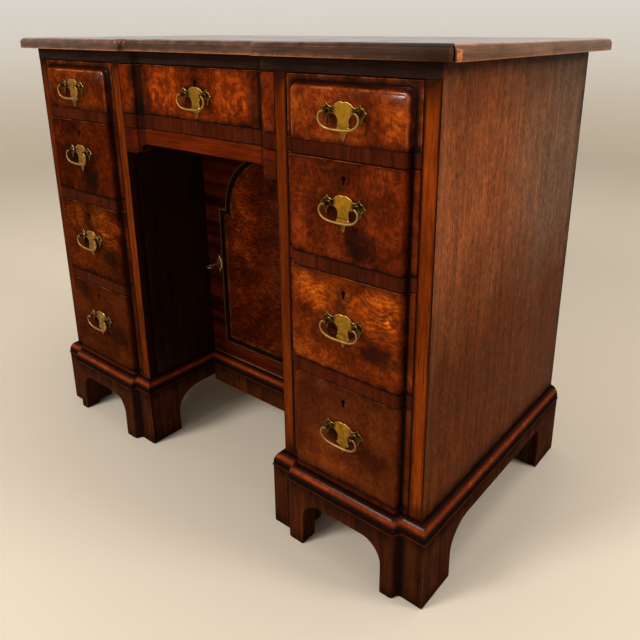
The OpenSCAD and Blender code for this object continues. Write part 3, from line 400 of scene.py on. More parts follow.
def cutThrough(piece, cutter):
    # takes the cutter's solid out of the piece for good
    change = piece.modifiers.new("cut", "BOOLEAN")
    change.object = cutter
    change.solver = "EXACT"
    bpy.context.view_layer.update()
    mesh = bpy.data.meshes.new_from_object(piece.evaluated_get(bpy.context.evaluated_depsgraph_get()))
    piece.modifiers.clear()
    piece.data = mesh
    creased(mesh)
    bpy.data.objects.remove(cutter)


def secondFinish(piece, material, chosen):
    # the faces that chosen picks out take another material
    piece.data.materials.append(material)
    for face in piece.data.polygons:
        if chosen(face):
            face.material_index = 1


def inSide(face):
    return abs(face.center.x) > caseX - 0.05 * mm and abs(face.normal.x) > 0.9


def finished(piece, body, node, material=None):
    # the piece takes the place of a CAD node, with its slot's finish or one of its own
    piece.data.materials.clear()
    piece.data.materials.append(material or finishes[slots[node]])
    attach(piece, body)
    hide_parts(node)
    return piece


building = {}  # the node tree that new nodes go into


class Wire:
    # an output of a node, which takes part in sums as a number does
    __array_ufunc__ = None  # so that a numpy number leaves the sum to the wire

    def __init__(self, socket):
        self.socket = socket

    def __add__(self, other):
        return calc("ADD", self, other)

    def __sub__(self, other):
        return calc("SUBTRACT", self, other)

    def __rsub__(self, other):
        return calc("SUBTRACT", other, self)

    def __mul__(self, other):
        return calc("MULTIPLY", self, other)

    def __truediv__(self, other):
        return calc("DIVIDE", self, other)

    def __lt__(self, other):
        return calc("LESS_THAN", self, other)

    def __gt__(self, other):
        return calc("GREATER_THAN", self, other)

    def __abs__(self):
        return calc("ABSOLUTE", self)


def clamped(value):
    # the last step of a sum held between 0 and 1
    value.socket.node.use_clamp = True
    return value


def plug(socket, value):
    if isinstance(value, Wire):
        building["tree"].links.new(value.socket, socket)
    else:
        socket.default_value = value


def addNode(kind, inputs=None, output=0, **settings):
    made = building["tree"].nodes.new("ShaderNode" + kind)
    for key, value in settings.items():
        setattr(made, key, value)
    for key, value in (inputs or {}).items():
        plug(made.inputs[key], value)
    return made if output is None else Wire(made.outputs[output])


def calc(operation, a, b=0.5):
    return addNode("Math", {0: a, 1: b}, operation=operation)


def vectorCalc(operation, a, b):
    return addNode("VectorMath", {0: a, 3 if operation == "SCALE" else 1: b}, operation=operation)


def blended(factor, a, b, how="MIX"):
    return addNode("Mix", {0: factor, 6: a, 7: b}, 2, data_type="RGBA", blend_type=how)


def tinted(colour, factor):
    # a colour times a colour, a mask or a plain number
    grey = isinstance(factor, (int, float))
    return blended(1.0, colour, (factor, factor, factor, 1) if grey else factor, "MULTIPLY")


def ramp(value, *stops, ease="LINEAR"):
    # each stop is a place with a grey or a colour
    made = addNode("ValToRGB", {0: value}, None)
    made.color_ramp.interpolation = ease
    marks = made.color_ramp.elements
    while len(marks) < len(stops):
        marks.new(1.0)
    for mark, (place, colour) in zip(marks, stops):
        mark.position = place
        mark.color = colour if hasattr(colour, "__len__") else (colour, colour, colour, 1)
    return Wire(made.outputs[0])


def rising(value, low, high, start=0.0, end=1.0, ease="LINEAR"):
    return ramp(value, (low, start), (high, end), ease=ease)


def noise(vector, scale, detail=3.0, roughness=0.5, output=0):
    inputs = {"Vector": vector, "Scale": scale, "Detail": detail, "Roughness": roughness}
    return addNode("TexNoise", inputs, output)


def mapped(vector, scale=(1, 1, 1), turn=(0, 0, 0), move=(0, 0, 0)):
    return addNode("Mapping", {"Vector": vector, "Scale": scale, "Rotation": turn, "Location": move})


def separated(vector):
    return [Wire(socket) for socket in addNode("SeparateXYZ", {0: vector}, None).outputs]


def maskOf(name):
    return addNode("Attribute", None, "Fac", attribute_name=name)


def warped(vector, scale, amount, detail=2.0):
    # the vector pushed about by a coloured noise
    push = vectorCalc("SUBTRACT", noise(vector, scale, detail, output=1), (0.5, 0.5, 0.5))
    return vectorCalc("ADD", vector, vectorCalc("SCALE", push, amount))


def tone(red, green, blue):
    # a colour given as it looks on screen, 0 to 255
    c = np.array([red, green, blue]) / 255
    return (*np.where(c <= 0.04045, c / 12.92, ((c + 0.055) / 1.055) ** 2.4), 1.0)


def newGroup(name, build, inputs, outputs):
    # a shader node group: build gets the inputs in their order and gives the values of the outputs in theirs;
    # a start value of one number makes a float, of three a vector, of four a colour
    tree = bpy.data.node_groups.new(name, "ShaderNodeTree")
    building["tree"] = tree
    for label, start in inputs.items():
        kind = {1: "Float", 3: "Vector", 4: "Color"}[np.size(start)]
        made = tree.interface.new_socket(name=label, in_out="INPUT", socket_type="NodeSocket" + kind)
        made.default_value = start
    for label in outputs:
        kind = "Color" if label == "Colour" else "Float"
        tree.interface.new_socket(name=label, in_out="OUTPUT", socket_type="NodeSocket" + kind)
    given = tree.nodes.new("NodeGroupInput").outputs
    results = build(*[Wire(given[label]) for label in inputs])
    ends = tree.nodes.new("NodeGroupOutput").inputs
    for label, value in zip(outputs, results):
        plug(ends[label], value)
    return tree


def useGroup(group, inputs):
    made = building["tree"].nodes.new("ShaderNodeGroup")
    made.node_tree = group
    for key, value in inputs.items():
        plug(made.inputs[key], value)
    return {socket.name: Wire(socket) for socket in made.outputs}


origin, black = (0, 0, 0), (0, 0, 0, 1)


def grainNodes(vector, fineness, wander):
    # long streaks along Z of the given vector, fine pores, and slow changes of tone
    bent = warped(mapped(vector, (1, 1, 0.5)), 7.0, wander)
    sized = vectorCalc("SCALE", bent, fineness)
    broad = noise(mapped(sized, (95, 95, 8)), 1.0, 4.0, 0.62)
    fine = noise(mapped(sized, (400, 400, 48)), 1.0, 3.0, 0.62)
    pores = noise(mapped(sized, (950, 950, 60)), 1.0, 2.0, 0.5)
    return (rising(broad * 0.55 + fine * 0.45, 0.36, 0.64), rising(pores, 0.54, 0.66),
            rising(noise(vector, 9.0, 4.0, 0.6), 0.33, 0.67))


def burrNodes(vector, swirl):
    # clouds, strokes and feathered waves that follow a slow swirl, close curls, and small dark eyes
    swirled = warped(vector, 9.0, swirl, 3.0)
    clouds = noise(warped(vector, 22.0, 0.03), 15.0, 6.0, 0.6)
    strokes = noise(mapped(swirled, (300, 300, 55), (0, 0.5, 0)), 1.0, 1.5, 0.5)
    curls = noise(warped(vector, 45.0, 0.035, 3.0), 105.0, 5.0, 0.62)
    eyes = addNode("TexVoronoi", {"Vector": warped(vector, 90.0, 0.006), "Scale": 165.0})
    eyes = rising(eyes, 0.1, 0.34, 1.0, 0.0) * rising(noise(vector, 26.0), 0.5, 0.62)
    waves = {"Scale": 48.0, "Distortion": 8.0, "Detail": 4.0, "Detail Scale": 0.6, "Detail Roughness": 0.62}
    feather = addNode("TexWave", {"Vector": swirled, **waves}, "Fac", bands_direction="DIAGONAL")
    return [rising(value, 0.35, 0.65) for value in (clouds, strokes, curls)] + [eyes, feather]


def edgeDirtAndShadeNodes(vector, low, high, reach):
    # 1 at the limits Low and High, falling unevenly to 0 at Reach inside them
    uneven = warped(vector, 45.0, reach * 1.3, 3.0)
    inside = vectorCalc("MINIMUM", vectorCalc("SUBTRACT", uneven, low), vectorCalc("SUBTRACT", high, uneven))
    x, y, z = separated(inside)
    least = calc("MINIMUM", calc("MINIMUM", x, y), z)
    return [calc("POWER", clamped(1.0 - least / reach), 1.5)]


def stainNodes(vector, centre, size, ragged):
    # 1 inside an oval about Centre with half axes Size, fading out through a ragged border
    scaled = vectorCalc("DIVIDE", vectorCalc("SUBTRACT", vector, centre), size)
    distance = addNode("VectorMath", {0: scaled}, 1, operation="LENGTH")
    rough = noise(vector, 48.0, 4.0, 0.65) - 0.5
    return [rising(distance + rough * (ragged * 3.0), 0.45, 1.0, 1.0, 0.0, "EASE")]


def polishNodes(vector, colour, wornAndLitColour, wear, grime, gloss, evenness, coat, gleam):
    # old wax: dark where grime is, which stands for dirt and painted shade, and light where wear is and no grime,
    # which stands for bare wood and painted highlight, both broken up by noise
    patches = rising(noise(vector, 42.0, 4.0, 0.65), 0.4, 0.6)
    clean = clamped(1.0 - grime * 0.8)
    wornAndLitHere = clamped(wear * calc("MAXIMUM", patches, evenness)) * clean
    dirtyAndShaded = clamped(grime * rising(noise(vector, 26.0, 4.0, 0.6), 0.3, 0.75, 1.0, 0.9))
    soiledAndShaded = blended(dirtyAndShaded, colour, (0.0045, 0.0024, 0.0018, 1))
    rough = gloss + noise(vector, 55.0, 5.0, 0.7) * 0.16 + dirtyAndShaded * 0.25
    shine = (coat + gleam * 0.7) * (1.0 - dirtyAndShaded * 0.9)
    return blended(wornAndLitHere, soiledAndShaded, wornAndLitColour), rough, noise(vector, 240.0, 3.0, 0.6), shine


def brassNodes(vector, bright, tarnish, wear, grime, gloss):
    # tarnish in clouds and specks over the metal, rubbed bright with a pale painted highlight where wear is, and
    # darkened where grime is
    clouds = rising(noise(vector, 120.0, 5.0, 0.65), 0.35, 0.68)
    specks = rising(noise(vector, 900.0, 3.0, 0.6), 0.5, 0.7)
    dull = clamped(clouds * 0.75 + specks * 0.3) * (1.0 - wear * 0.8)
    metal = blended(wear * 0.4, blended(dull, bright, tarnish), tone(206, 166, 96))
    sootyAndShaded = clamped(grime * (clouds * 0.3 + 0.85))
    relief = noise(vector, 420.0, 4.0, 0.6) + specks
    return blended(sootyAndShaded, metal, tone(26, 17, 8)), gloss + dull * 0.32, relief


straightGrain = newGroup("straightGrain", grainNodes, {"Vector": origin, "Fineness": 1.0, "Wander": 0.012},
                         ["Figure", "Pores", "Clouds"])
burrFigure = newGroup("burrFigure", burrNodes, {"Vector": origin, "Swirl": 0.05},
                      ["Clouds", "Strokes", "Curls", "Eyes", "Feather"])
edgeDirt = newGroup("edgeDirt", edgeDirtAndShadeNodes, {"Vector": origin, "Low": (-far, -far, -far),
                                                "High": (far, far, far), "Reach": 0.01}, ["Mask"])
stain = newGroup("stain", stainNodes, {"Vector": origin, "Centre": origin, "Size": (0.02, 1, 0.02),
                                       "Ragged": 0.5}, ["Mask"])
agedPolish = newGroup("agedPolish", polishNodes,
                      {"Vector": origin, "Colour": black, "Worn Colour": black, "Wear": 0.0, "Grime": 0.0,
                       "Gloss": 0.3, "Evenness": 0.1, "Coat": 0.05, "Gleam": 0.0},
                      ["Colour", "Roughness", "Height", "Coat"])
agedBrass = newGroup("agedBrass", brassNodes,
                     {"Vector": origin, "Bright": black, "Tarnish": black, "Wear": 0.0, "Grime": 0.0,
                      "Gloss": 0.26}, ["Colour", "Roughness", "Height"])


def newMaterial(name):
    material = bpy.data.materials.new(name)
    material.use_nodes = True
    building["tree"] = material.node_tree
    material.node_tree.nodes.clear()
    shader = addNode("BsdfPrincipled", None, None)
    addNode("OutputMaterial", {0: Wire(shader.outputs[0])}, None)
    return material, shader, addNode("TexCoord", None, "Object")


def dress(shader, aged, strength, distance):
    # joins the colour, roughness and height of an aged finish to the shader
    relief = addNode("Bump", {"Height": aged["Height"], "Strength": strength, "Distance": distance})
    plug(shader.inputs["Base Color"], aged["Colour"])
    plug(shader.inputs["Roughness"], aged["Roughness"])
    plug(shader.inputs["Normal"], relief)


def polished(shader, place, colour, worn, grime=None, gloss=0.3, sheen=0.0, coat=0.045, evenness=0.1):
    # a wood colour under the aged polish, with the piece's own wear and painted highlight, its dirt and painted
    # shade, and its gleam
    dirtAndShade = maskOf("grime")
    if grime is not None:
        dirtAndShade = clamped(dirtAndShade + grime)
    aged = useGroup(agedPolish, {"Vector": place, "Colour": colour, "Worn Colour": worn, "Grime": dirtAndShade,
                                 "Wear": maskOf("wear"), "Gleam": maskOf("gleam"), "Gloss": gloss,
                                 "Evenness": evenness, "Coat": coat})
    dress(shader, aged, 0.05, 0.6 * mm)
    plug(shader.inputs["Coat Weight"], aged["Coat"])
    plug(shader.inputs["Coat Roughness"], 0.18)
    plug(shader.inputs["Specular IOR Level"], sheen)
    plug(shader.inputs["Specular Tint"], (0.75, 0.3, 0.12, 1))


def dirtAndShadeWithin(place, limits, reach, strength):
    # dirt and painted shade along the borders of a box given as (low, high)
    inputs = {"Vector": place, "Low": limits[0], "High": limits[1], "Reach": reach}
    return useGroup(edgeDirt, inputs)["Mask"] * strength


def stainAt(place, centre, size, ragged=0.5):
    return useGroup(stain, {"Vector": place, "Centre": centre, "Size": size, "Ragged": ragged})["Mask"]


def grainColour(place, dark, light, turn=(0, 0, 0), fineness=1.0, clouding=0.4):
    grain = useGroup(straightGrain, {"Vector": mapped(place, turn=turn), "Fineness": fineness})
    colour = blended(grain["Figure"], dark, light)
    colour = blended(grain["Clouds"], tinted(colour, 1 - clouding), colour)
    return blended(grain["Pores"] * 0.3, colour, (0.008, 0.003, 0.001, 1))


def risingFrom(value, start, length):
    # 0 below start, 1 above start + length
    return clamped((value - start) / length)


across = (0, math.pi / 2, 0)  # turns the grain to run along X
endways = (math.pi / 2, 0, 0)  # and along Y
# the side veneer's tones: above the low ones, the front and rear tones carry a painted reflection, and the dark
# border tone stands for dirt and painted shade
side = {
    "low": (tone(62, 25, 2), tone(102, 47, 8)), "front": (tone(104, 53, 25), tone(152, 84, 45)),
    "rear": (tone(84, 59, 42), tone(120, 88, 66)), "soot": tone(20, 14, 10), "worn": tone(130, 78, 44),
    "flecks": ((0.5, 0.48, 0.48, 1), (1.42, 1.4, 1.36, 1)),
    "mottle": ((0.74, 0.8, 0.88, 1), (1.22, 1.16, 1.06, 1)),
}


def sideWalnut(name):
    # veneer that is pale and warm to the front, greyer to the back, brown below and dark under the top; the pale
    # upper part is a painted reflection, and the dark band under the top is painted shade
    material, shader, place = newMaterial(name)
    x, y, z = separated(place)
    uneven = noise(mapped(place, (1, 1, 0.3)), 15.0, 4.0, 0.6) - 0.5
    # up and back blend in the painted reflection: paler above, warm at the front and grey at the back
    up = risingFrom(z + uneven * 0.22, 0.385, 0.15)
    back = risingFrom(y + uneven * 0.25, -0.08, 0.22)
    tones = [blended(up, low, blended(back, front, rear))
             for low, front, rear in zip(side["low"], side["front"], side["rear"])]
    colour = grainColour(place, *tones, fineness=1.6, clouding=0.22)
    flecks = noise(mapped(place, (380, 380, 110)), 1.0, 4.0, 0.7)
    mottle = noise(mapped(place, (1, 1, 0.6)), 62.0, 4.0, 0.65)
    for mask, (dark, light) in ((flecks, side["flecks"]), (mottle, side["mottle"])):
        colour = tinted(colour, blended(rising(mask, 0.34, 0.66), dark, light))
    # painted shade under the top's overhang
    colour = tinted(colour, rising(risingFrom(z, 0.69, 0.07), 0.0, 1.0, 1.0, 0.6))
    panelHigh = boxOf("end_panels")[1]
    # dirt and painted shade along the bottom, the back and under the top
    dirtAndShade = dirtAndShadeWithin(place, ((-far, -far, stileLow[2]), (far, panelHigh[1], panelHigh[2])), 0.03, 0.8)
    colour = blended(dirtAndShade, colour, side["soot"])
    polished(shader, place, colour, side["worn"], gloss=0.38, sheen=0.02, coat=0.02)
    return material


def plainWalnut(name, dark, light, worn, turn=(0, 0, 0), fineness=1.0, clouding=0.4, limits=None, reach=0.02,
                strength=0.8, coveShadeLines=(), paintedShades=None, banded=False, boarded=False, **finish):
    # straight-grained walnut; limits are the borders of the piece where dirt and painted shade gather
    material, shader, place = newMaterial(name)
    colour = grainColour(place, dark, light, turn, fineness, clouding)
    if boarded:
        # the grain follows each board, and no two boards have quite the same tone
        lengthwise = grainColour(place, dark, light, endways, fineness, clouding)
        colour = blended(maskOf("lengthwise"), colour, lengthwise)
        colour = blended(maskOf("tint"), colour, tinted(colour, (0.7, 0.66, 0.6, 1)))
    grime = dirtAndShadeWithin(place, limits, reach, strength) if limits else None
    if paintedShades:
        # each of the four stiles is darkened by a factor, from left to right, as painted shade
        steps = zip((0.0, 0.14, 0.5, 0.86), paintedShades)
        colour = tinted(colour, ramp(separated(place)[0] / (2 * caseX) + 0.5, *steps, ease="CONSTANT"))
    if banded:
        height = addNode("CombineXYZ", {2: separated(place)[2]})
        band = rising(noise(height, 30.0, 2.0), 0.42, 0.56)
        colour = blended(band, tinted(colour, 0.25), colour)
    for away, width in coveShadeLines:
        # painted shade in dark lines at a distance from the middle of each pedestal
        fromCove = abs(abs(abs(separated(place)[0]) - openCx) - away)
        grime = calc("MAXIMUM", grime, rising(fromCove / width, 0.25, 1.0, 1.0, 0.0))
    polished(shader, place, colour, worn, grime, **finish)
    return material


def figuredWalnut(name, look, limits, stains=(), mirrored=False, **finish):
    # burr veneer; mirrored repeats the figure left and right of the middle as two matched leaves
    material, shader, place = newMaterial(name)
    at = place
    if mirrored:
        x, y, z = separated(place)
        at = addNode("CombineXYZ", {0: abs(x), 1: y, 2: z})
    burr = useGroup(burrFigure, {"Vector": mapped(at, turn=(0, look["turn"], 0), move=look["move"]),
                                 "Swirl": look["swirl"]})
    total = burr["Clouds"] * look["clouds"] + burr["Strokes"] * look["strokes"] + burr["Curls"] * look["curls"]
    total += (noise(at, 620.0, 3.0, 0.65) - 0.5) * look["fine"]
    tones = look["tones"]
    colour = ramp(total, *zip((0.04, 0.38, 0.62, 0.95), tones))
    feathered = rising(burr["Feather"], 0.1, 0.8, 0.35, 1.0)
    for centre, size, strength in look.get("flames", ()):
        glow = stainAt(at, centre, size, 0.6) * strength * feathered
        colour = blended(glow, colour, tinted(colour, look["flame"]))
    colour = blended(burr["Eyes"] * 0.6, colour, tones[0])
    if "ripple" in look:
        waves = noise(mapped(warped(at, 12.0, 0.03), (70, 70, 430), (0, look["ripple"], 0)), 1.0, 1.0)
        lines = blended(rising(waves, 0.42, 0.58), (0.5, 0.45, 0.4, 1), (1.2, 1.2, 1.2, 1))
        colour = blended(0.8, colour, lines, "MULTIPLY")
    # dirt and painted shade along the limits, then each stain and painted shadow
    grime = dirtAndShadeWithin(place, limits, 0.011, 0.85)
    for centre, size, strength in stains:
        grime = calc("MAXIMUM", grime, stainAt(place, centre, size) * strength)
    polished(shader, place, colour, look["worn"], grime, **finish)
    return material


def brassFinish(name, bright, tarnish, gloss=0.26):
    material, shader, place = newMaterial(name)
    aged = useGroup(agedBrass, {"Vector": place, "Bright": bright, "Tarnish": tarnish, "Wear": maskOf("wear"),
                                "Grime": maskOf("grime"), "Gloss": gloss})
    dress(shader, aged, 0.25, 0.3 * mm)
    shader.inputs["Metallic"].default_value = 1.0
    return material


topLow, topHigh = boxOf("top_board")
topBoard = {
    "thumb": 12 * mm, "edge": 14 * mm, "fillet": 1.2 * mm, "foot": 0.8 * mm,
    "band": 48 * mm, "string": 7 * mm,
    "crack": {"place": 4.5 * mm, "width": 1.1 * mm, "deep": 3 * mm, "reach": 13 * mm},
    "chips": [((topHigh[0] - 7 * mm, topLow[1], topLow[2] + 9 * mm), (5 * mm, far, 18 * mm)),
              ((topHigh[0], topLow[1] + 4 * mm, topLow[2] + 8 * mm), (2 * mm, 9 * mm, 14 * mm))],
}


def topWalnut(name):
    # a banded and quartered surface inside a short-grained, rubbed edge
    material, shader, place = newMaterial(name)
    x, y, z = separated(place)
    fromEnd = topHigh[0] - abs(x)
    centred = abs(y - (topLow[1] + topHigh[1]) / 2)
    fromSide = (topHigh[1] - topLow[1]) / 2 - centred
    inward, atEnd = calc("MINIMUM", fromEnd, fromSide), fromEnd < fromSide
    colour = blended(atEnd, grainColour(place, tone(42, 24, 16), tone(92, 56, 36), endways, 1.3),
                     grainColour(place, tone(58, 33, 20), tone(126, 78, 48), across, 1.3))
    quarterLeaf = addNode("CombineXYZ", {0: abs(x), 1: centred, 2: z})
    burr = useGroup(burrFigure, {"Vector": mapped(quarterLeaf, turn=(1.57, 0, 0)), "Swirl": 0.05})
    field = ramp(burr["Clouds"] * 0.5 + burr["Curls"] * 0.5,
                 (0.1, tone(40, 18, 9)), (0.5, tone(76, 36, 17)), (0.9, tone(112, 60, 29)))
    string = grainColour(place, tone(66, 40, 24), tone(134, 88, 52), (0, 0, 0.8), 3.0, 0.2)
    colour = blended(inward > topBoard["band"], colour, string)
    colour = blended(inward > topBoard["band"] + topBoard["string"], colour, field)
    upright = z < topLow[2] + topBoard["edge"] + 3 * mm
    frontEdge = grainColour(place, tone(40, 25, 19), tone(92, 66, 54), across, 1.0, 0.6)
    sideEdge = grainColour(place, tone(70, 42, 24), tone(132, 90, 56), endways, 1.0, 0.5)
    colour = blended(upright, colour, blended(atEnd, frontEdge, sideEdge))
    # pale wood where the veneer has chipped away at the open corner and along the lower edge
    bits = rising(noise(mapped(place, (1, 0.3, 1)), 420.0, 4.0, 0.7), 0.37, 0.5)
    chips = (z < topLow[2] + 1.5 * mm) * 0.4
    for centre, size in topBoard["chips"]:
        chips = calc("MAXIMUM", chips, stainAt(place, centre, size, 0.2))
    colour = blended(chips * bits, colour, tone(206, 118, 54))
    grime = rising(noise(place, 14.0, 4.0, 0.65), 0.3, 0.55, 0.6, 0.0) * (0.8 - upright * 0.4)
    coat = (z > topHigh[2] - 2 * mm) * 0.8 + 0.08
    polished(shader, place, colour, tone(150, 94, 56), grime, gloss=0.24, sheen=0.2, coat=coat)
    return material


# boxes whose borders take dirt and painted shade: the stiles' bottom and top, and the plinths' foot and top
aboveBase = ((-far, -far, stileLow[2]), (far, far, stileHigh[2]))
onFloor = ((-far, -far, 0.0), (far, far, boxOf("base_mouldings")[0][2] + 2 * mm))
finishes = {
    "top_walnut": topWalnut("topWalnut"),
    "dark_walnut": plainWalnut("friezeWalnut", tone(25, 15, 11), tone(48, 29, 21), tone(92, 52, 32), across),
    "side_walnut": sideWalnut("sideWalnut"),
    # the knee sides' tones are kept very dark, as painted shade inside the kneehole
    "knee_walnut": plainWalnut("kneeWalnut", tone(22, 10, 6), tone(46, 20, 10), tone(96, 48, 24)),
    "stile_walnut": plainWalnut("stileWalnut", tone(72, 22, 1), tone(146, 60, 8), tone(150, 78, 26),
                                limits=aboveBase, reach=0.045, strength=0.9, paintedShades=[0.4, 0.75, 0.62, 1.0],
                                coveShadeLines=[(openHalf, 5.5 * mm), (caseX - openCx, 3.5 * mm)]),
    "rail_walnut": plainWalnut("railWalnut", tone(42, 12, 3), tone(78, 27, 8), tone(156, 82, 40),
                               fineness=1.3),
    "moulding_walnut": plainWalnut("mouldingWalnut", tone(30, 9, 2), tone(74, 24, 6), tone(154, 62, 20),
                                   evenness=0.5, coat=0.1),
    "plinth_walnut": plainWalnut("plinthWalnut", tone(34, 13, 4), tone(76, 33, 10), tone(124, 66, 32),
                                 limits=onFloor, reach=0.03,
                                 coveShadeLines=[(block["halfWidth"] + block["ogee"] + 9 * mm, 9 * mm)]),
    "door_walnut": plainWalnut("doorWalnut", tone(46, 13, 3), tone(92, 30, 8), tone(130, 70, 40), across,
                               clouding=0.5, banded=True),
    "apron_walnut": plainWalnut("apronWalnut", tone(58, 14, 1), tone(112, 36, 5), tone(168, 84, 36), across),
    "oak": plainWalnut("oakBoards", tone(112, 78, 46), tone(156, 116, 74), tone(170, 132, 92), across,
                       boarded=True, gloss=0.6, sheen=0.3, coat=0.0),
    "brass": brassFinish("agedBrass", tone(170, 124, 30), tone(92, 62, 16)),
    "key_iron": brassFinish("keyMetal", tone(120, 100, 78), tone(48, 38, 28), 0.36),
}
for name, cadNode in nodes.items():
    finish = finishes.get(slots[name], finishes["rail_walnut"])
    if not cadNode.material_slots:
        cadNode.data.materials.append(finish)
    for place in cadNode.material_slots:
        place.material = finish
print("finishes made:", len(finishes))


def topOutline(inset):
    # the front line moved in by inset on all sides, closed by the straight back
    halfWidth, frontY, backY = topHigh[0] - inset, topLow[1] + inset, topHigh[1] - inset
    line = recessLine(halfWidth, kneeX - 20 * mm + inset / 2, kneeX - 38 * mm + inset / 2, frontY)
    crack = topBoard["crack"]
    at, deep = halfWidth - crack["place"], crack["deep"] * max(1 - inset / crack["reach"], 0)
    notch = coords(at + np.array([-1, -0.5, 0.6, 1]) * crack["width"], frontY + np.array([0, deep, deep, 0]))
    return np.concatenate([line[:-2], notch, line[-2:], coords([halfWidth, -halfWidth], backY)])


def makeTop():
    # rings up the edge: rounded foot, upright face, fillet, thumb, then flat rings towards the middle
    thick = topHigh[2] - topLow[2]
    foot, edge, fillet, thumb = (topBoard[key] for key in ("foot", "edge", "fillet", "thumb"))
    profile = [(foot, 0, 0.2)]
    profile += [(foot * (1 - math.sin(t)), foot * (1 - math.cos(t)), 0.8) for t in quarter(9)[2:7:2]]
    profile += [(0, foot, 0.6), (0, edge * 0.4, 0), (0, edge - 1 * mm, 0.1), (0.3 * mm, edge - 0.3 * mm, 0.9),
                (1.0 * mm, edge, 0.5)]
    profile += [(fillet + (thumb - fillet) * (1 - math.cos(t)), edge + (thick - edge) * math.sin(t),
                 0.1 + 0.3 * math.sin(2 * t)) for t in quarter(9)]
    profile += [(14 * mm, thick, 0), (50 * mm, thick, 0)]
    crack = topBoard["crack"]
    rings, wear, grime = [], [], []
    for inset, height, worn in profile:
        x, y = topOutline(inset).T
        rings.append(coords(x, y, topLow[2] + height))
        fromCrack = np.abs(x - topHigh[0] + inset + crack["place"])
        inCrack = (fromCrack < crack["width"] + 0.05 * mm) & (y < 0)
        wear.append(np.where(inCrack, 0, worn))
        grime.append(np.where(inCrack & (inset < crack["reach"]), 1.0, 0.0))
    return ringedBody("topBoard", rings, wear=wear, grime=grime)


def makeFrieze():
    low, high = boxOf("frieze_rail")
    line = recessLine(caseX)
    x = np.sort(np.concatenate([line[:, 0], [-kneeX - 0.1 * mm, -kneeX, kneeX, kneeX + 0.1 * mm]]))
    line = coords(x, np.interp(x, *line.T))
    backY = np.where(np.abs(x) > kneeX + 0.05 * mm, stileHigh[1], high[1])
    return carvedBoard("friezeRail", line, backY, low[2], high[2], 0.6 * mm, 0.5)


finished(makeTop(), "case", "top_board")
secondFinish(finished(makeFrieze(), "case", "frieze_rail"), finishes["side_walnut"], inSide)
print("top and frieze made")

front = {"arris": 1.0 * mm, "endRadius": 0.8 * mm, "tailShow": 0.15 * mm, "thick": 20 * mm, "crown": 3.4 * mm,
         "keyholeDrop": 24 * mm, "openingGap": 1.5 * mm}
keyhole = {"radius": 3.4 * mm, "slotWidth": 3.2 * mm, "slotLength": 9 * mm, "shade": 10 * mm}


def straightFront(name, node, line, backY):
    low, high = boxOf(node)
    line = roundedEnds(line, front["endRadius"])
    # the upper arris takes full wear, which stands for wear and a painted highlight; the lower one almost none
    return carvedBoard(name, line, backY, low[2], high[2], front["arris"], 1.0, worn=(0.05, 1.0), ends=4)


def blockElevation(inset, x0, x1, z0, z1, steps=9):
    # the outline of a top drawer's block, inset all round but open at the bottom: up, round, across, round
    # and down
    half = block["halfWidth"] + block["ogee"] - inset
    radius = max(block["cornerRadius"] - inset, 2 * mm)
    top = z1 - block["topStrip"] - inset
    a = quarter(steps)
    arc = coords(-half + radius * (1 - np.cos(a)), top - radius * (1 - np.sin(a)))
    up = coords(-half, np.linspace(z0, top - radius, 6)[:-1])
    over = coords(np.linspace(-half + radius, 0, 6)[1:], top)
    leftSide = np.concatenate([up, arc, over])
    return np.concatenate([leftSide, leftSide[-2::-1] * [-1, 1]]) + [(x0 + x1) / 2, 0]


def borderOutline(inset, outline, x0, x1, z1, upCount=5, arcCount=9):
    # the same points pushed out to the drawer front's own edge
    half = outline[:(len(outline) + 1) // 2].copy()
    arc = slice(upCount, upCount + arcCount)
    cornerX, cornerZ = x0 + inset, z1 - inset
    t = np.linspace(0, 1, arcCount)
    sideZ = np.interp(t, [0, 0.5], [outline[arc][0, 1], cornerZ])
    topX = np.interp(t, [0.5, 1], [cornerX, outline[arc][-1, 0]])
    half[:upCount, 0] = cornerX
    half[arc] = np.where(t[:, None] < 0.5, coords(cornerX, sideZ), coords(topX, cornerZ))
    half[arc.stop:, 1] = cornerZ
    return np.concatenate([half, half[-2::-1] * [-1, 1] + [x0 + x1, 0]])


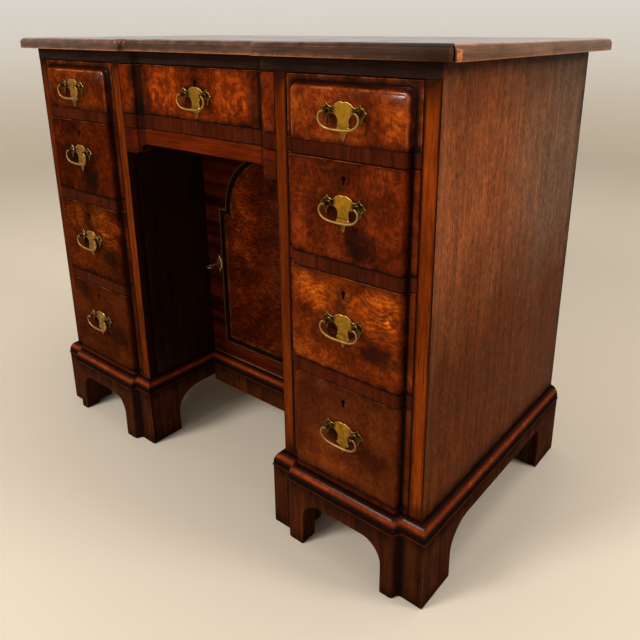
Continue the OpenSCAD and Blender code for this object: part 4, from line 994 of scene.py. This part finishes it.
def cushionFront(name, node):
    # rings from the back edge over the flat border and up the ogee to the crowned field
    low, high = boxOf(node)
    x0, x1, z0, z1 = low[0] + front["tailShow"], high[0] - front["tailShow"], low[2], high[2]
    arris = front["arris"]
    base = blockElevation(0, x0, x1, z0, z1)
    rings, wear, grime = [], [], []
    # each border ring: inset, depth, wear, and grime for dirt and painted shade
    border = [(0, front["thick"], 0, 0), (0, arris, 0.5, 0.3), (0.3 * arris, 0.3 * arris, 1, 0.3),
              (arris, 0, 0.3, 0.5)]
    for inset, y, worn, dirtyAndShaded in border:
        rings.append((borderOutline(inset, base, x0, x1, z1), faceY + y))
        wear.append(worn)
        grime.append(dirtyAndShaded)
    ogee = ogeeCurve([block["ogee"], -block["proud"] + front["crown"]], [0, 0])[::-1]
    field = np.array([(1.5, 2.9), (3, 2.42), (6, 1.65), (10, 0.95), (15, 0.4), (21, 0.1), (27, 0.0)]) * mm
    for k, (inset, y) in enumerate(np.concatenate([ogee, field + [block["ogee"], -block["proud"]]])):
        share = k / (len(ogee) - 1)
        rings.append((blockElevation(inset, x0, x1, z0, z1), faceY + y))
        wear.append(math.exp(-((share - 0.86) / 0.1) ** 2) * 0.6)
        # painted shade with dirt in the cove at the ogee's foot
        grime.append(np.clip(1.15 - 1.4 * share, 0, 1))
    rings = np.array([coords(edge[:, 0], y, edge[:, 1]) for edge, y in rings])
    shoulder = [(x0 + x1) / 2 + block["halfWidth"] - 2 * mm, 0, z1 - block["topStrip"] - 12 * mm]
    away = (rings - shoulder) / [14 * mm, 1, 9 * mm]
    gleam = np.exp(-away[..., 0] ** 2 - away[..., 2] ** 2)
    count, size = rings.shape[:2]
    last = (count - 1) * size
    faces = gridFaces(count, size)
    faces += [list(range(last, last + size)), list(range(size))[::-1]]
    faces += [[k * size for k in range(count)] + [k * size + size - 1 for k in range(count)][::-1]]
    return newPiece(name, rings, faces, wear=wear, grime=grime, gleam=gleam)


def keyholeCutter(x, y, z, deep):
    # a circle that opens into an upright slot below it, drawn from in front to behind the face at y
    half = keyhole["slotWidth"] / 2
    start = math.asin(half / keyhole["radius"])
    a = np.linspace(-math.pi / 2 + start, 1.5 * math.pi - start, 16)
    foot = coords([-half, half], -keyhole["slotLength"])
    outline = np.concatenate([keyhole["radius"] * coords(np.cos(a), np.sin(a)), foot])
    return ringedBody("keyholeCutter", [coords(x + outline[:, 0], place, z + outline[:, 1])
                                        for place in (y - 5 * mm, y + deep)])


# each front's bright flames, and its dark stains and painted shadows, such as the painted shadow with dirt round
# the handle plate: x from its middle, z from its handle, half width, half height and strength
plateStainAndShadow = (0.0, -0.008, 0.046, 0.026)
looks = {
    "top": {
        "tones": [tone(50, 15, 3), tone(84, 28, 5), tone(112, 44, 9), tone(142, 66, 18)], "turn": 0.3,
        "leftShade": 0.52, "stains": [(*plateStainAndShadow, 0.65)],
        "flames": [(-0.02, 0.02, 0.05, 0.02, 0.4), (0.075, -0.01, 0.03, 0.03, 0.4)]},
    "second": {
        "tones": [tone(34, 9, 1), tone(66, 19, 2), tone(90, 29, 4), tone(118, 46, 9)], "turn": -0.5,
        "leftShade": 0.5, "stains": [(*plateStainAndShadow, 0.85), (0.026, -0.05, 0.038, 0.03, 0.8),
                                     (-0.05, -0.02, 0.03, 0.05, 0.4)],
        "flames": [(-0.055, 0.03, 0.045, 0.035, 0.4), (0.0, -0.085, 0.08, 0.018, 0.5),
                   (0.06, 0.04, 0.04, 0.03, 0.3)]},
    "third": {
        "tones": [tone(48, 14, 1), tone(78, 26, 2), tone(104, 40, 5), tone(132, 62, 12)], "turn": 0.9,
        "leftShade": 0.4, "stains": [(*plateStainAndShadow, 0.9), (0.06, -0.034, 0.04, 0.024, 0.75),
                                     (-0.004, 0.032, 0.018, 0.03, 0.6)],
        "flames": [(0.05, 0.036, 0.06, 0.03, 0.95), (0.064, 0.004, 0.036, 0.026, 0.9),
                   (-0.055, 0.036, 0.04, 0.034, 0.75), (-0.05, -0.06, 0.05, 0.03, 0.3)]},
    "bottom": {
        "tones": [tone(48, 16, 3), tone(66, 24, 5), tone(80, 32, 7), tone(98, 44, 11)], "turn": 0.1,
        "leftShade": 0.6, "stains": [(*plateStainAndShadow, 0.85), (0.055, -0.026, 0.04, 0.024, 0.5),
                                     (-0.06, 0.05, 0.03, 0.03, 0.3)],
        "flames": [(-0.03, -0.07, 0.06, 0.02, 0.25), (0.04, 0.04, 0.05, 0.03, 0.2)]},
    "centre": {
        "tones": [tone(40, 10, 1), tone(72, 21, 2), tone(98, 33, 4), tone(126, 50, 8)], "turn": 0.2,
        # the centre front's dark ends, beside its coves, are painted shade
        "stains": [(0.0, -0.008, 0.044, 0.024, 0.75), (0.0, 0.03, 0.014, 0.05, 0.5),
                   (0.14, 0, 0.03, 0.09, 0.75), (-0.14, 0, 0.03, 0.09, 0.75)],
        "flames": [(0.082, 0.004, 0.06, 0.05, 0.8)]},
    # the door's tones are painted dark, as painted shade under the apron
    "door": {
        "tones": [tone(28, 7, 1), tone(48, 12, 2), tone(64, 19, 3), tone(88, 32, 7)], "turn": 0.6,
        "ripple": 0.7, "flames": [((-0.08, faceY, 0.45), (0.05, 1.0, 0.13), 0.75)]},
}
for name, look in looks.items():
    look.update({"swirl": 0.12, "clouds": 0.52, "strokes": 0.16, "curls": 0.32,
                 "fine": 0.2 if name == "door" else 0.42, "worn": tone(176, 92, 40),
                 "flame": (2.6, 2.9, 2.6, 1), "move": (0.31 * len(name), 0.0, 0.17 * len(name))})


def veneerOf(rowName, node, centreX, axisZ):
    # the veneer of one front, with its own figure, flames and stains
    low, high = boxOf(node)
    look = dict(looks[rowName])
    for key in ("flames", "stains"):
        look[key] = [((centreX + x, faceY, axisZ + z), (width, 1.0, height), strength)
                     for x, z, width, height, strength in look[key]]
    # the left pedestal's fronts take darker tones, as painted shade
    if centreX < 0:
        shade = [look["leftShade"]] * 3 + [1]
        look["tones"] = [tuple(np.array(colour) * shade) for colour in look["tones"]]
    # dirt and painted shade along the front's lower edge and, more weakly, its upper edge, whose limit lies above
    # it
    limits = ((-far, -far, low[2]), (far, far, high[2] + 5 * mm))
    name = node.replace("_", " ").title().replace(" ", "") + "Veneer"
    return figuredWalnut(name, look, limits, look["stains"], rowName == "centre", gloss=0.26,
                         coat=0.016 if centreX < 0 else 0.045)


def dressFront(piece, body, rowName, x, locked=True):
    # cuts the keyhole, lays the veneer and darkens the inside of the hole with painted shade
    node = f"{body}_front"
    z = boxOf(node)[1][2] + front["openingGap"] - front["keyholeDrop"]
    if locked:
        cutThrough(piece, keyholeCutter(x, faceY - block["proud"], z, 60 * mm))
    finished(piece, body, node, veneerOf(rowName, node, x, axisHeights[body.replace("_drawer", "_bail")]))
    if locked:
        secondFinish(piece, keyholeShade, lambda face: abs(face.normal.y) < 0.5 and math.hypot(
            face.center.x - x, face.center.z - z) < keyhole["shade"])


keyholeShade = plainWalnut("keyholeShade", tone(10, 6, 4), tone(24, 13, 8), tone(24, 13, 8), sheen=0.1,
                           coat=0.0)
for sideName, sign in sides.items():
    for rowName in rowNames:
        body = f"{sideName}_{rowName}_drawer"
        low, high = boxOf(f"{body}_front")
        if rowName == "top":
            piece = cushionFront(f"{sideName}TopFront", f"{body}_front")
        else:
            line = blockLine(low[0] + front["tailShow"], high[0] - front["tailShow"], 0, sign * openCx)
            piece = straightFront(f"{sideName}{rowName.title()}Front", f"{body}_front", line,
                                  faceY + front["thick"])
        dressFront(piece, body, rowName, sign * openCx, rowName != "top")
line = recessLine(boxOf("centre_drawer_front")[1][0] - front["tailShow"])
dressFront(straightFront("centreFront", "centre_drawer_front", line, faceY + recess["deep"] + front["thick"]),
           "centre_drawer", "centre", 0.0)
print("drawer fronts made")

apron = {"dropWidth": 20 * mm, "archStart": 47 * mm, "archDepth": 27 * mm, "thick": 16 * mm}


def makeApron():
    # its lower edge: level drops at the ends, an ogee up from each, and a level middle
    low, high = boxOf("apron_drawer_front")
    line = recessLine(high[0] - front["tailShow"])
    lower = ogeeCurve([kneeX - apron["dropWidth"], low[2]],
                      [kneeX - apron["archStart"], high[2] - apron["archDepth"]])
    x = np.unique(np.concatenate([line[:, 0], lower[:, 0], -lower[:, 0]]).round(6))
    x = x[np.concatenate([[True], np.diff(x) > 0.02 * mm])]
    lowZ = np.interp(np.abs(x), *lower[::-1].T)
    # painted shade at both ends of the apron, beside the kneehole's sides
    shadeAtEnds = 0.5 * np.clip((np.abs(x) - kneeX + 34 * mm) / (14 * mm), 0, 1)
    line, backY = coords(x, np.interp(x, *line.T)), faceY + recess["deep"] + apron["thick"]
    return carvedBoard("apronFront", line, backY, lowZ, high[2], 0.8 * mm, 0.6, shadeAtEnds)


railThick = {"top": 20 * mm, "second": 20 * mm, "third": 20 * mm, "bottom": 8 * mm}


def makeRails():
    # one rail under each drawer of both pedestals, following the block
    backY = boxOf("drawer_rails")[1][1]
    parts = []
    for sign in (1, -1):
        ends = sorted((sign * (frontLow[0] - sideGap), sign * (frontHigh[0] + sideGap)))
        for rowName, thick in railThick.items():
            high = boxOf(f"right_{rowName}_drawer_front")[0][2] - 0.3 * mm
            parts.append(carvedBoard("rail", blockLine(*ends, 0, sign * openCx), backY, high - thick, high,
                                     0.7 * mm, 1.0, worn=(0.1, 0.12)))
    return merged("drawerRails", parts)


finished(makeApron(), "apron_drawer", "apron_drawer_front")
finished(makeRails(), "case", "drawer_rails")
railLow, railHigh = boxOf("centre_rail")
centreRail = carvedBoard("centreRail", recessLine(kneeX), railHigh[1], railLow[2], railHigh[2], 0.9 * mm, 0.6)
finished(centreRail, "case", "centre_rail")
print("rails and apron made")

moulding = {"bead": 3.6 * mm, "quirk": 1.1 * mm, "fillet": 0.6 * mm, "glue": 0.1 * mm}


def mouldingProfile(reachOut, height, steps=13):
    # how far the moulding stands out, its height there, wear with a painted highlight on the upper round, and
    # grime with painted shade at the fillet, the bead, the quirk and the lower round: a flat bead with a rounded
    # arris, a quirk, then a quarter of an ellipse up to a fillet at the case
    a = quarter(steps)[::-1]
    bead, quirk, fillet = moulding["bead"], moulding["quirk"], moulding["fillet"]
    worn = 0.8 * np.exp(-((a - 0.82) / 0.17) ** 2)
    dirtyAndShaded = np.clip(np.exp(-(a / 0.42) ** 3) + 1.1 / (1 + np.exp(-(a - 1.12) / 0.07)), 0, 1)
    foot = [[reachOut - 0.4 * mm, 0, 0, 0.9], [reachOut, 0.5 * mm, 0, 0.6],
            [reachOut, bead - 0.9 * mm, 0.1, 0.5], [reachOut - 0.3 * mm, bead - 0.25 * mm, 0.3, 0.4],
            [reachOut - 0.8 * mm, bead, 0.3, 0.8]]
    out = fillet + (reachOut - quirk - fillet) * np.sin(a)
    return np.concatenate([foot, coords(out, bead + (height - bead) * np.cos(a), worn, dirtyAndShaded)])


def makeMouldings():
    # each strip is given as its plan at a distance out from the case
    low, high = boxOf("base_mouldings")
    backY, doorY, y = high[1], doorLow[1], faceY + moulding["glue"]
    profile = mouldingProfile(high[0] - caseX, high[2] - low[2])
    parts = []

    def strip(outlineAt):
        rings = [coords(*outlineAt(out).T, low[2] + z) for out, z, worn, dirtyAndShaded in profile]
        parts.append(ringedBody("strip", rings, wear=profile[:, 2], grime=profile[:, 3]))

    def frontStrip(out):
        ends = sorted((sign * (kneeX - out), sign * (caseX + out)))
        inner = sorted((sign * kneeX, sign * caseX))[::-1]
        return np.concatenate([blockLine(*ends, out, sign * openCx), coords(inner, faceY)])

    def sideStrip(out):
        away = caseX + out
        return np.array([[caseX, y], [away, y - out], [away, backY], [caseX, backY]]) * [sign, 1]

    def kneeStrip(out):
        away, end = kneeX - out, doorY - moulding["glue"]
        return np.array([[kneeX, y], [kneeX, end], [away, end - out], [away, y - out]]) * [sign, 1]

    for sign in (1, -1):
        for shape in (frontStrip, sideStrip, kneeStrip):
            strip(shape)
    strip(lambda out: np.array([[out - kneeX, doorY - out], [kneeX - out, doorY - out], [kneeX, doorY],
                                [-kneeX, doorY]]))
    return merged("baseMouldings", parts)


finished(makeMouldings(), "case", "base_mouldings")

# the foot blocks take a dark oak, as painted shade under the pedestals
sootyOak = plainWalnut("sootyOak", tone(44, 30, 18), tone(70, 50, 32), tone(80, 58, 38), gloss=0.6, coat=0.0)
boards = {  # the boards that keep their own shape: body, and how far their arrises are rounded in millimetres
    "stiles": ("case", 0.9), "end_panels": ("case", 0.7), "knee_sides": ("case", 0.5),
    "pedestal_plinths": ("case", 0.9), "cupboard_plinth": ("case", 0.9), "cupboard_head_rail": ("case", 0.5),
    "door_frame": ("cupboard_door", 0.9), "foot_blocks": ("case", 0.6), "back_boards": ("case", 0.8),
    "dustboards": ("case", 0.4), "cupboard_boards": ("case", 0.4), "cupboard_shelf": ("case", 0.6),
    "apron_drawer_box": ("apron_drawer", 0.4), "centre_drawer_box": ("centre_drawer", 0.5),
}
boards.update({f"{sideName}_{rowName}_drawer_box": (f"{sideName}_{rowName}_drawer", 0.5)
               for sideName in sides for rowName in rowNames})
joints = {"stiles": [(1, stileHigh[1]), (2, stileHigh[2])], "end_panels": [(1, stileHigh[1])]}
for node, (body, width) in boards.items():
    piece = softened(node, width * mm, joints=joints.get(node, ()))
    finished(piece, body, node, sootyOak if node == "foot_blocks" else None)
    if node == "stiles":
        secondFinish(piece, finishes["side_walnut"], inSide)
print("mouldings and boards made")

door = {"stile": 43.5 * mm, "rail": 32 * mm, "shoulder": 19 * mm, "crown": 12 * mm, "margin": 5 * mm,
        "field": 2 * mm, "board": 9 * mm}
doorBead = {"width": 2.2 * mm, "proud": 1.2 * mm, "sunk": 0.2 * mm, "back": 1.5 * mm}


def sightRing(inset, y, steps=28):
    # the door's sight line drawn smaller at a depth: bottom, right side, shoulder, arc, shoulder, left side
    halfWidth = doorHigh[0] - door["stile"]
    radius = halfWidth - door["shoulder"]
    archZ, z0 = doorHigh[2] - door["crown"] - radius, doorLow[2] + door["rail"] + inset
    r, half, level = radius - inset, halfWidth - inset, archZ - inset
    start = math.asin(min(inset / r, 1.0))
    a = np.linspace(-start, math.pi + start, steps)
    arc = coords(r * np.cos(a), archZ + r * np.sin(a))
    outline = np.concatenate([[[-half, z0], [half, z0], [half, level]], arc, [[-half, level]]])
    return coords(outline[:, 0], doorLow[1] + y, outline[:, 1])


def makeDoorPanel():
    # the board behind, then rings over the sunk margin and up a bevel to the field: inset, depth, wear, and grime,
    # which is painted shade in the sunk margin and up the bevel
    margin, field = door["margin"], door["field"]
    rows = [(0.3, margin + 4 * mm, 0, 1), (0.3, margin, 0, 1), (4, margin, 0, 1), (7.6, margin, 0, 1),
            (8.3, margin - 0.8 * mm, 0.1, 0.9), (9.3, field + 0.7 * mm, 0.5, 0.5), (10.5, field, 0.2, 0.4),
            (18, field, 0, 0.15), (32, field, 0, 0)]
    rings = [sightRing(inset * mm, y) for inset, y, worn, dirtyAndShaded in rows]
    face = ringedBody("doorField", rings, wear=[row[2] for row in rows], grime=[row[3] for row in rows])
    low, high = boxOf("door_panel")
    corners = [coords([low[0], high[0], high[0], low[0]], y, [low[2], low[2], high[2], high[2]])
               for y in (doorLow[1] + door["board"], high[1])]
    return merged("doorPanel", [face, ringedBody("doorBoard", corners)])


def makeDoorBead():
    # a half-round bead along the inner edge of the frame
    width, proud, sunk, back = (doorBead[key] for key in ("width", "proud", "sunk", "back"))
    a = np.linspace(0, np.pi, 7)
    rows = [(sunk - width / 2 * (1 - math.cos(t)), 0.3 * mm - proud * math.sin(t)) for t in a]
    rings = np.array([sightRing(inset, y) for inset, y in rows + [(sunk - width, back), (sunk, back)]])
    faces = gridFaces(*rings.shape[:2], wrapRows=True, wrapColumns=True)
    # wear along the bead's crown stands for wear and a painted highlight
    return newPiece("doorBead", rings, faces, wear=[*np.sin(a), 0, 0])


bead = makeDoorBead()
bead.data.materials.append(plainWalnut("beadWalnut", tone(34, 18, 12), tone(58, 36, 26), tone(78, 56, 44),
                                       evenness=0.5, coat=0.15))
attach(bead, "cupboard_door")
panelLow, panelHigh = boxOf("door_panel")
panelLimits = ((panelLow[0], -far, panelLow[2]), (panelHigh[0], far, panelHigh[2]))
finished(makeDoorPanel(), "cupboard_door", "door_panel",
         figuredWalnut("doorVeneer", looks["door"], panelLimits))
print("door made")

plate = {
    "thick": 1.6 * mm, "rim": 1.1 * mm, "rimDrop": 0.7 * mm, "postGap": 47 * mm, "stand": 10 * mm,
    # right half from the top to the tip of the drop, in millimetres; each run is smooth and meets the next at
    # a point, and the open eye lies between the wing and the shield
    "outside": [[(0, 12), (2.4, 12.6), (5.2, 12.8), (8.4, 12)], [(8.4, 12), (11.2, 10.6), (14, 9.2)],
                [(14, 9.2), (16.6, 6.6), (19.6, 5.9), (23, 6.9), (25.4, 9.2), (28, 11)],
                [(28, 11), (28.6, 8.2), (30, 6.4)], [(30, 6.4), (32.2, 6.0), (33.8, 4.2)],
                [(33.8, 4.2), (36, 1.2), (39.5, -0.5)], [(39.5, -0.5), (36.2, -1.4), (34, -4)],
                [(34, -4), (31.2, -7), (30.6, -10), (29, -13.6), (26.6, -16.6)]],
    "eye": (18.2, -12.5, 9.3, -26, 213),  # centre, radius, and the angles it runs between
    "shield": [[(10.3, -17.6), (8, -19)], [(8, -19), (10.4, -20.4), (12, -22.5)],
               [(12, -22.5), (10, -24.6), (8, -26)], [(8, -26), (5.4, -27.2), (3.6, -29.5)],
               [(3.6, -29.5), (3.2, -32), (2.8, -34), (1.4, -36.4), (0, -38)]],
    # the post from the plate out: collar and hollow neck, as radius and height, then a ball of that radius
    "post": [(0, -1), (4, -1), (4, 1.0), (3.6, 1.5), (2.9, 1.9), (2.5, 3.0), (2.2, 4.6), (2.2, 6.6)],
    "ball": 3.15,
    # the next three are how much the grime mask darkens the wings, the drop and the posts
    "wings": 0.95, "drop": 0.6, "posts": 0.75,  # grime
}
bail = {"radius": 1.8 * mm, "width": 64.8, "drop": 22.0, "topAngle": 35, "bow": 0.6,
        "pin": [(22.4, 0), (24.6, 0), (26.6, 0.1), (28.0, -0.2)]}
bailBrass = brassFinish("bailBrass", tone(150, 112, 58), tone(84, 58, 28), gloss=0.45)


def plateLoop():
    # the plate's outline, counted against the clock: down the right half, then its mirror image back up
    x, z, radius, start, end = plate["eye"]
    a = np.radians(np.linspace(start, end, 26))
    eye = coords(x + radius * np.cos(a), z + radius * np.sin(a))
    outside, shield = ([smoothRun(run)[:-1] for run in plate[key]] for key in ("outside", "shield"))
    half = np.concatenate(outside + [eye] + shield + [[plate["shield"][-1][-1]]])
    return np.concatenate([half[1:], half[-2::-1] * [-1, 1]])[::-1] * mm


def makeBail(name, x, y, z):
    # a D that hangs from its ends, turned in there to lie in the posts, and thickest in its middle
    top = math.radians(bail["topAngle"])
    middle = bail["drop"] * math.sin(top) / (1 + math.sin(top))
    t = np.linspace(-top * 0.8, math.pi + top * 0.8, 41)[1:-1]
    bow = coords(bail["width"] / 2 * np.sign(np.cos(t)) * np.abs(np.cos(t)) ** bail["bow"],
                 -middle - (bail["drop"] - middle) * np.sin(t))
    start = np.array(bail["pin"])
    path = smoothRun(np.concatenate([start, bow, start[::-1] * [-1, 1]]), 3) * mm
    radii = bail["radius"] * (0.74 + 0.26 * np.sin(np.linspace(0, np.pi, len(path))).clip(0) ** 0.7)
    points, faces = tubeAlong(path, radii)
    return newPiece(name, standUp(points, x, y, z), faces, wear=0.25)


def makeFittings(name, node, x, faceAtY, z):
    # plate and posts at the face, with the node's own nuts and lock behind it
    points, faces, wear = platedShape(plateLoop(), plate["thick"], plate["rim"], plate["rimDrop"])
    t = np.linspace(-0.72, math.pi / 2, 9)
    ball = plate["ball"] * coords(np.cos(t), np.sin(t))
    profile = np.concatenate([plate["post"], ball + [0, plate["stand"] / mm]]) * mm
    postPoints, postFaces = turned(profile)
    parts = [(points, faces)]
    for x0 in (-plate["postGap"] / 2, plate["postGap"] / 2):
        parts.append((postPoints + [x0, 0, plate["thick"]], postFaces))
    points, faces = joinedParts(parts)
    count = len(wear)
    wear = np.append(wear, np.full(len(points) - count, 0.5))
    wings = np.clip((np.abs(points[:, 0]) - 12 * mm) / (4 * mm), 0, 1)
    drop = np.clip((-23 * mm - points[:, 1]) / (6 * mm), 0, 1)
    soiledAndShaded = np.maximum(plate["wings"] * wings, plate["drop"] * drop) * (1 - 0.75 * wear)
    soiledAndShaded[count:] = plate["posts"]
    face = newPiece(name, standUp(points, x, faceAtY, z), faces, wear=wear, grime=soiledAndShaded)
    return merged(name, [face, softened(node, 0.3 * mm, 1, name + "Inner", faceAtY + 1 * mm)])


def addHandle(label, drawer, x, faceAtY):
    fittings, body = f"{drawer}_fittings", drawer.replace("_drawer", "_bail")
    z, axisY = axisHeights[body], faceAtY - plate["thick"] - plate["stand"]
    finished(makeFittings(label + "Fittings", fittings, x, faceAtY, z), drawer, fittings)
    finished(makeBail(label + "Bail", x, axisY, z), body, f"{drawer}_bail", bailBrass)


for sideName, sign in sides.items():
    for rowName in rowNames:
        addHandle(f"{sideName}{rowName.title()}", f"{sideName}_{rowName}_drawer", sign * openCx,
                  faceY - block["proud"])
addHandle("centre", "centre_drawer", 0.0, faceY + recess["deep"])
print("handles made")

escutcheon = {"width": 8.4, "height": 17.4, "thick": 1.4 * mm, "rim": 1.6 * mm, "rimDrop": 0.9 * mm}
key = {"wire": 1.45 * mm, "squash": 0.86, "bitHalf": 1 * mm, "bitDrop": 8 * mm,
       # the stem's collar and the start of its shaft, as radius and distance from the bow
       "stem": [(0, 0), (1.9, 0), (1.9, 1.2), (2.9, 1.6), (3.1, 2.4), (2.9, 3.2), (2.1, 3.6), (2.1, 5.4),
                (2.7, 5.8), (2.7, 6.6), (2.1, 7.0)]}


def makeLock():
    # a shaped plate round the keyhole, with the node's own lock behind the door
    w, h = escutcheon["width"], escutcheon["height"]
    runs = [[(0, h), (1.6, h - 1.2), (2.6, h - 3.4), (2.2, h - 5.6)],
            [(2.2, h - 5.6), (4.6, h - 6.6), (w - 0.6, 5.6)], [(w - 0.6, 5.6), (w - 1.8, 3.0), (w, 0)]]
    right = np.concatenate([smoothRun(run)[:-1] for run in runs] + [[(w, 0)]])
    half = np.concatenate([right, right[-2::-1] * [1, -1]])
    loop = np.concatenate([half, half[-2:0:-1] * [-1, 1]])[::-1] * mm
    points, faces, wear = platedShape(loop, escutcheon["thick"], escutcheon["rim"], escutcheon["rimDrop"])
    # some wear all over, with its pale painted highlight
    face = newPiece("escutcheon", standUp(points, keyX, doorLow[1], keyZ), faces, wear=np.maximum(wear, 0.4))
    cutThrough(face, keyholeCutter(keyX, doorLow[1], keyZ, 5 * mm))
    return merged("doorLock", [face, softened("door_lock", 0.3 * mm, 1, "lockInner", doorLow[1] + 5 * mm)])


def makeKey():
    # a round bow as a ring of wire, a turned collar and stem, and the bit
    low, high = boxOf("key")
    wire, squash = key["wire"], key["squash"]
    radius = (high[0] - low[0]) / 2 - wire
    t = np.linspace(0, 2 * np.pi, 32, endpoint=False)[:, None]
    s = np.linspace(0, 2 * np.pi, 12, endpoint=False)
    reach, bowY = radius + wire * np.cos(s), low[1] + radius + wire
    bow = coords(keyX + reach * np.sin(t), bowY + squash * reach * np.cos(t), keyZ + wire * np.sin(s))
    start = bowY + squash * radius
    end = (high[1] - start) / mm
    stem, stemFaces = turned(np.array(key["stem"] + [(2.1, end), (0, end)]) * mm)
    bitLow = np.array([keyX - key["bitHalf"], doorHigh[1] + 3 * mm, min(low[2], keyZ - key["bitDrop"])])
    bitHigh = np.array([keyX + key["bitHalf"], high[1] - 1 * mm, keyZ])
    corners = np.array([[i, j, k] for i in (0, 1) for j in (0, 1) for k in (0, 1)])
    points, faces = joinedParts([
        (bow.reshape(-1, 3), gridFaces(32, 12, True, True)),
        (coords(keyX + stem[:, 0], start + stem[:, 2], keyZ + stem[:, 1]), stemFaces),
        (bitLow + corners * (bitHigh - bitLow), [[0, 1, 3, 2], [4, 6, 7, 5], [0, 4, 5, 1], [2, 3, 7, 6],
                                                 [0, 2, 6, 4], [1, 5, 7, 3]])])
    return newPiece("cupboardKey", points, faces, wear=0.3)


# the escutcheon's brass is paler than the handles', as a painted highlight
finished(makeLock(), "cupboard_door", "door_lock",
         brassFinish("escutcheonBrass", tone(214, 170, 96), tone(150, 108, 56), 0.3))
finished(makeKey(), "key", "key")
print("lock and key made")

floorShape = {"flat": 2.5, "curveStart": 3.2, "radius": 1.5, "top": 3.4, "low": tone(204, 190, 170),
              "high": tone(221, 217, 211), "drop": 0.4 * mm}


def makeFloor():
    # a round floor whose border curves up into a wall: a flat, a quarter circle and an upright turned about Z
    start, radius = floorShape["curveStart"], floorShape["radius"]
    a = quarter(12)
    curve = coords(start + radius * np.sin(a), radius * (1 - np.cos(a)))
    profile = [[0.001, 0.0], [floorShape["flat"], 0.0], *curve, [start + radius, floorShape["top"]]]
    points, faces = turned(profile, 96)
    mesh = bpy.data.meshes.new("floor")
    mesh.from_pydata(points.tolist(), [], [face[::-1] for face in faces])
    mesh.shade_smooth()
    floor = placed("floor", mesh)
    material, shader, place = newMaterial("paleFloor")
    rise = clamped(separated(place)[2] / 1.4)
    paint = rising(rise, 0.0, 1.0, floorShape["low"], floorShape["high"], "EASE")
    plug(shader.inputs["Base Color"], paint)
    plug(shader.inputs["Roughness"], 0.8)
    plug(shader.inputs["Specular IOR Level"], 0.2)
    # seen by the camera, in a reflection or through a clear surface, the wall shows its own colour
    path = addNode("LightPath", None, None).outputs
    camera, glossy, through = (Wire(path[f"Is {ray} Ray"]) for ray in ("Camera", "Glossy", "Transmission"))
    share = clamped(camera + glossy + through) * rising(rise, 0.0, 0.5, ease="EASE")
    plain = addNode("Emission", {"Color": paint, "Strength": 1.0})
    both = addNode("MixShader", {0: share, 1: Wire(shader.outputs[0]), 2: plain})
    output = next(item for item in material.node_tree.nodes if item.type == "OUTPUT_MATERIAL")
    plug(output.inputs[0], both)
    mesh.materials.append(material)
    floor.location.z = -floorShape["drop"]


lamps = {  # size, power and place
    "keyLamp": (1.1, 112, (-1.1, -3.0, 2.5)), "sideLamp": (1.0, 60, (3.0, 0.9, 2.0)),
    "topLamp": (2.2, 36, (0.6, 0.4, 3.4)), "glintLamp": (0.3, 16, (-0.25, -3.1, 1.5)),
}


def addLamps(target=Vector((0.0, 0.0, 0.4))):
    for name, (size, power, place) in lamps.items():
        lamp = bpy.data.lights.new(name, "AREA")
        lamp.shape, lamp.size, lamp.energy = "DISK", size, power
        made = placed(name, lamp)
        made.location = place
        made.rotation_euler = (target - Vector(place)).to_track_quat("-Z", "Y").to_euler()
    world = bpy.data.worlds.new("studio")
    scene.world = world
    world.use_nodes = True
    sky = world.node_tree.nodes["Background"].inputs
    sky[0].default_value, sky[1].default_value = (1, 0.99, 0.97, 1), 0.42


view = {"place": (0.8282, -0.8994, 0.8054), "yaw": 38.8157, "pitch": 17.9985, "roll": -0.0895,
        "focal": 648.857, "centre": (337.19, 239.37), "frame": 640,  # in pixels
        "sensor": 36.0}


def addCamera():
    camera = bpy.data.cameras.new("camera")
    made = placed("camera", camera)
    yaw, pitch = math.radians(view["yaw"]), math.radians(view["pitch"])
    ahead = Vector((-math.sin(yaw) * math.cos(pitch), math.cos(yaw) * math.cos(pitch), -math.sin(pitch)))
    turn = ahead.to_track_quat("-Z", "Y").to_matrix() @ Matrix.Rotation(math.radians(view["roll"]), 3, "Z")
    made.location = view["place"]
    made.rotation_euler = turn.to_euler()
    camera.sensor_width = view["sensor"]
    camera.lens = view["focal"] / view["frame"] * view["sensor"]
    half = view["frame"] / 2
    camera.shift_x = (half - view["centre"][0]) / view["frame"]
    camera.shift_y = (view["centre"][1] - half) / view["frame"]
    camera.clip_start, camera.clip_end = 0.02, 60
    scene.camera = made


makeFloor()
addLamps()
addCamera()
scene.view_settings.view_transform = "Standard"
print("scene made")
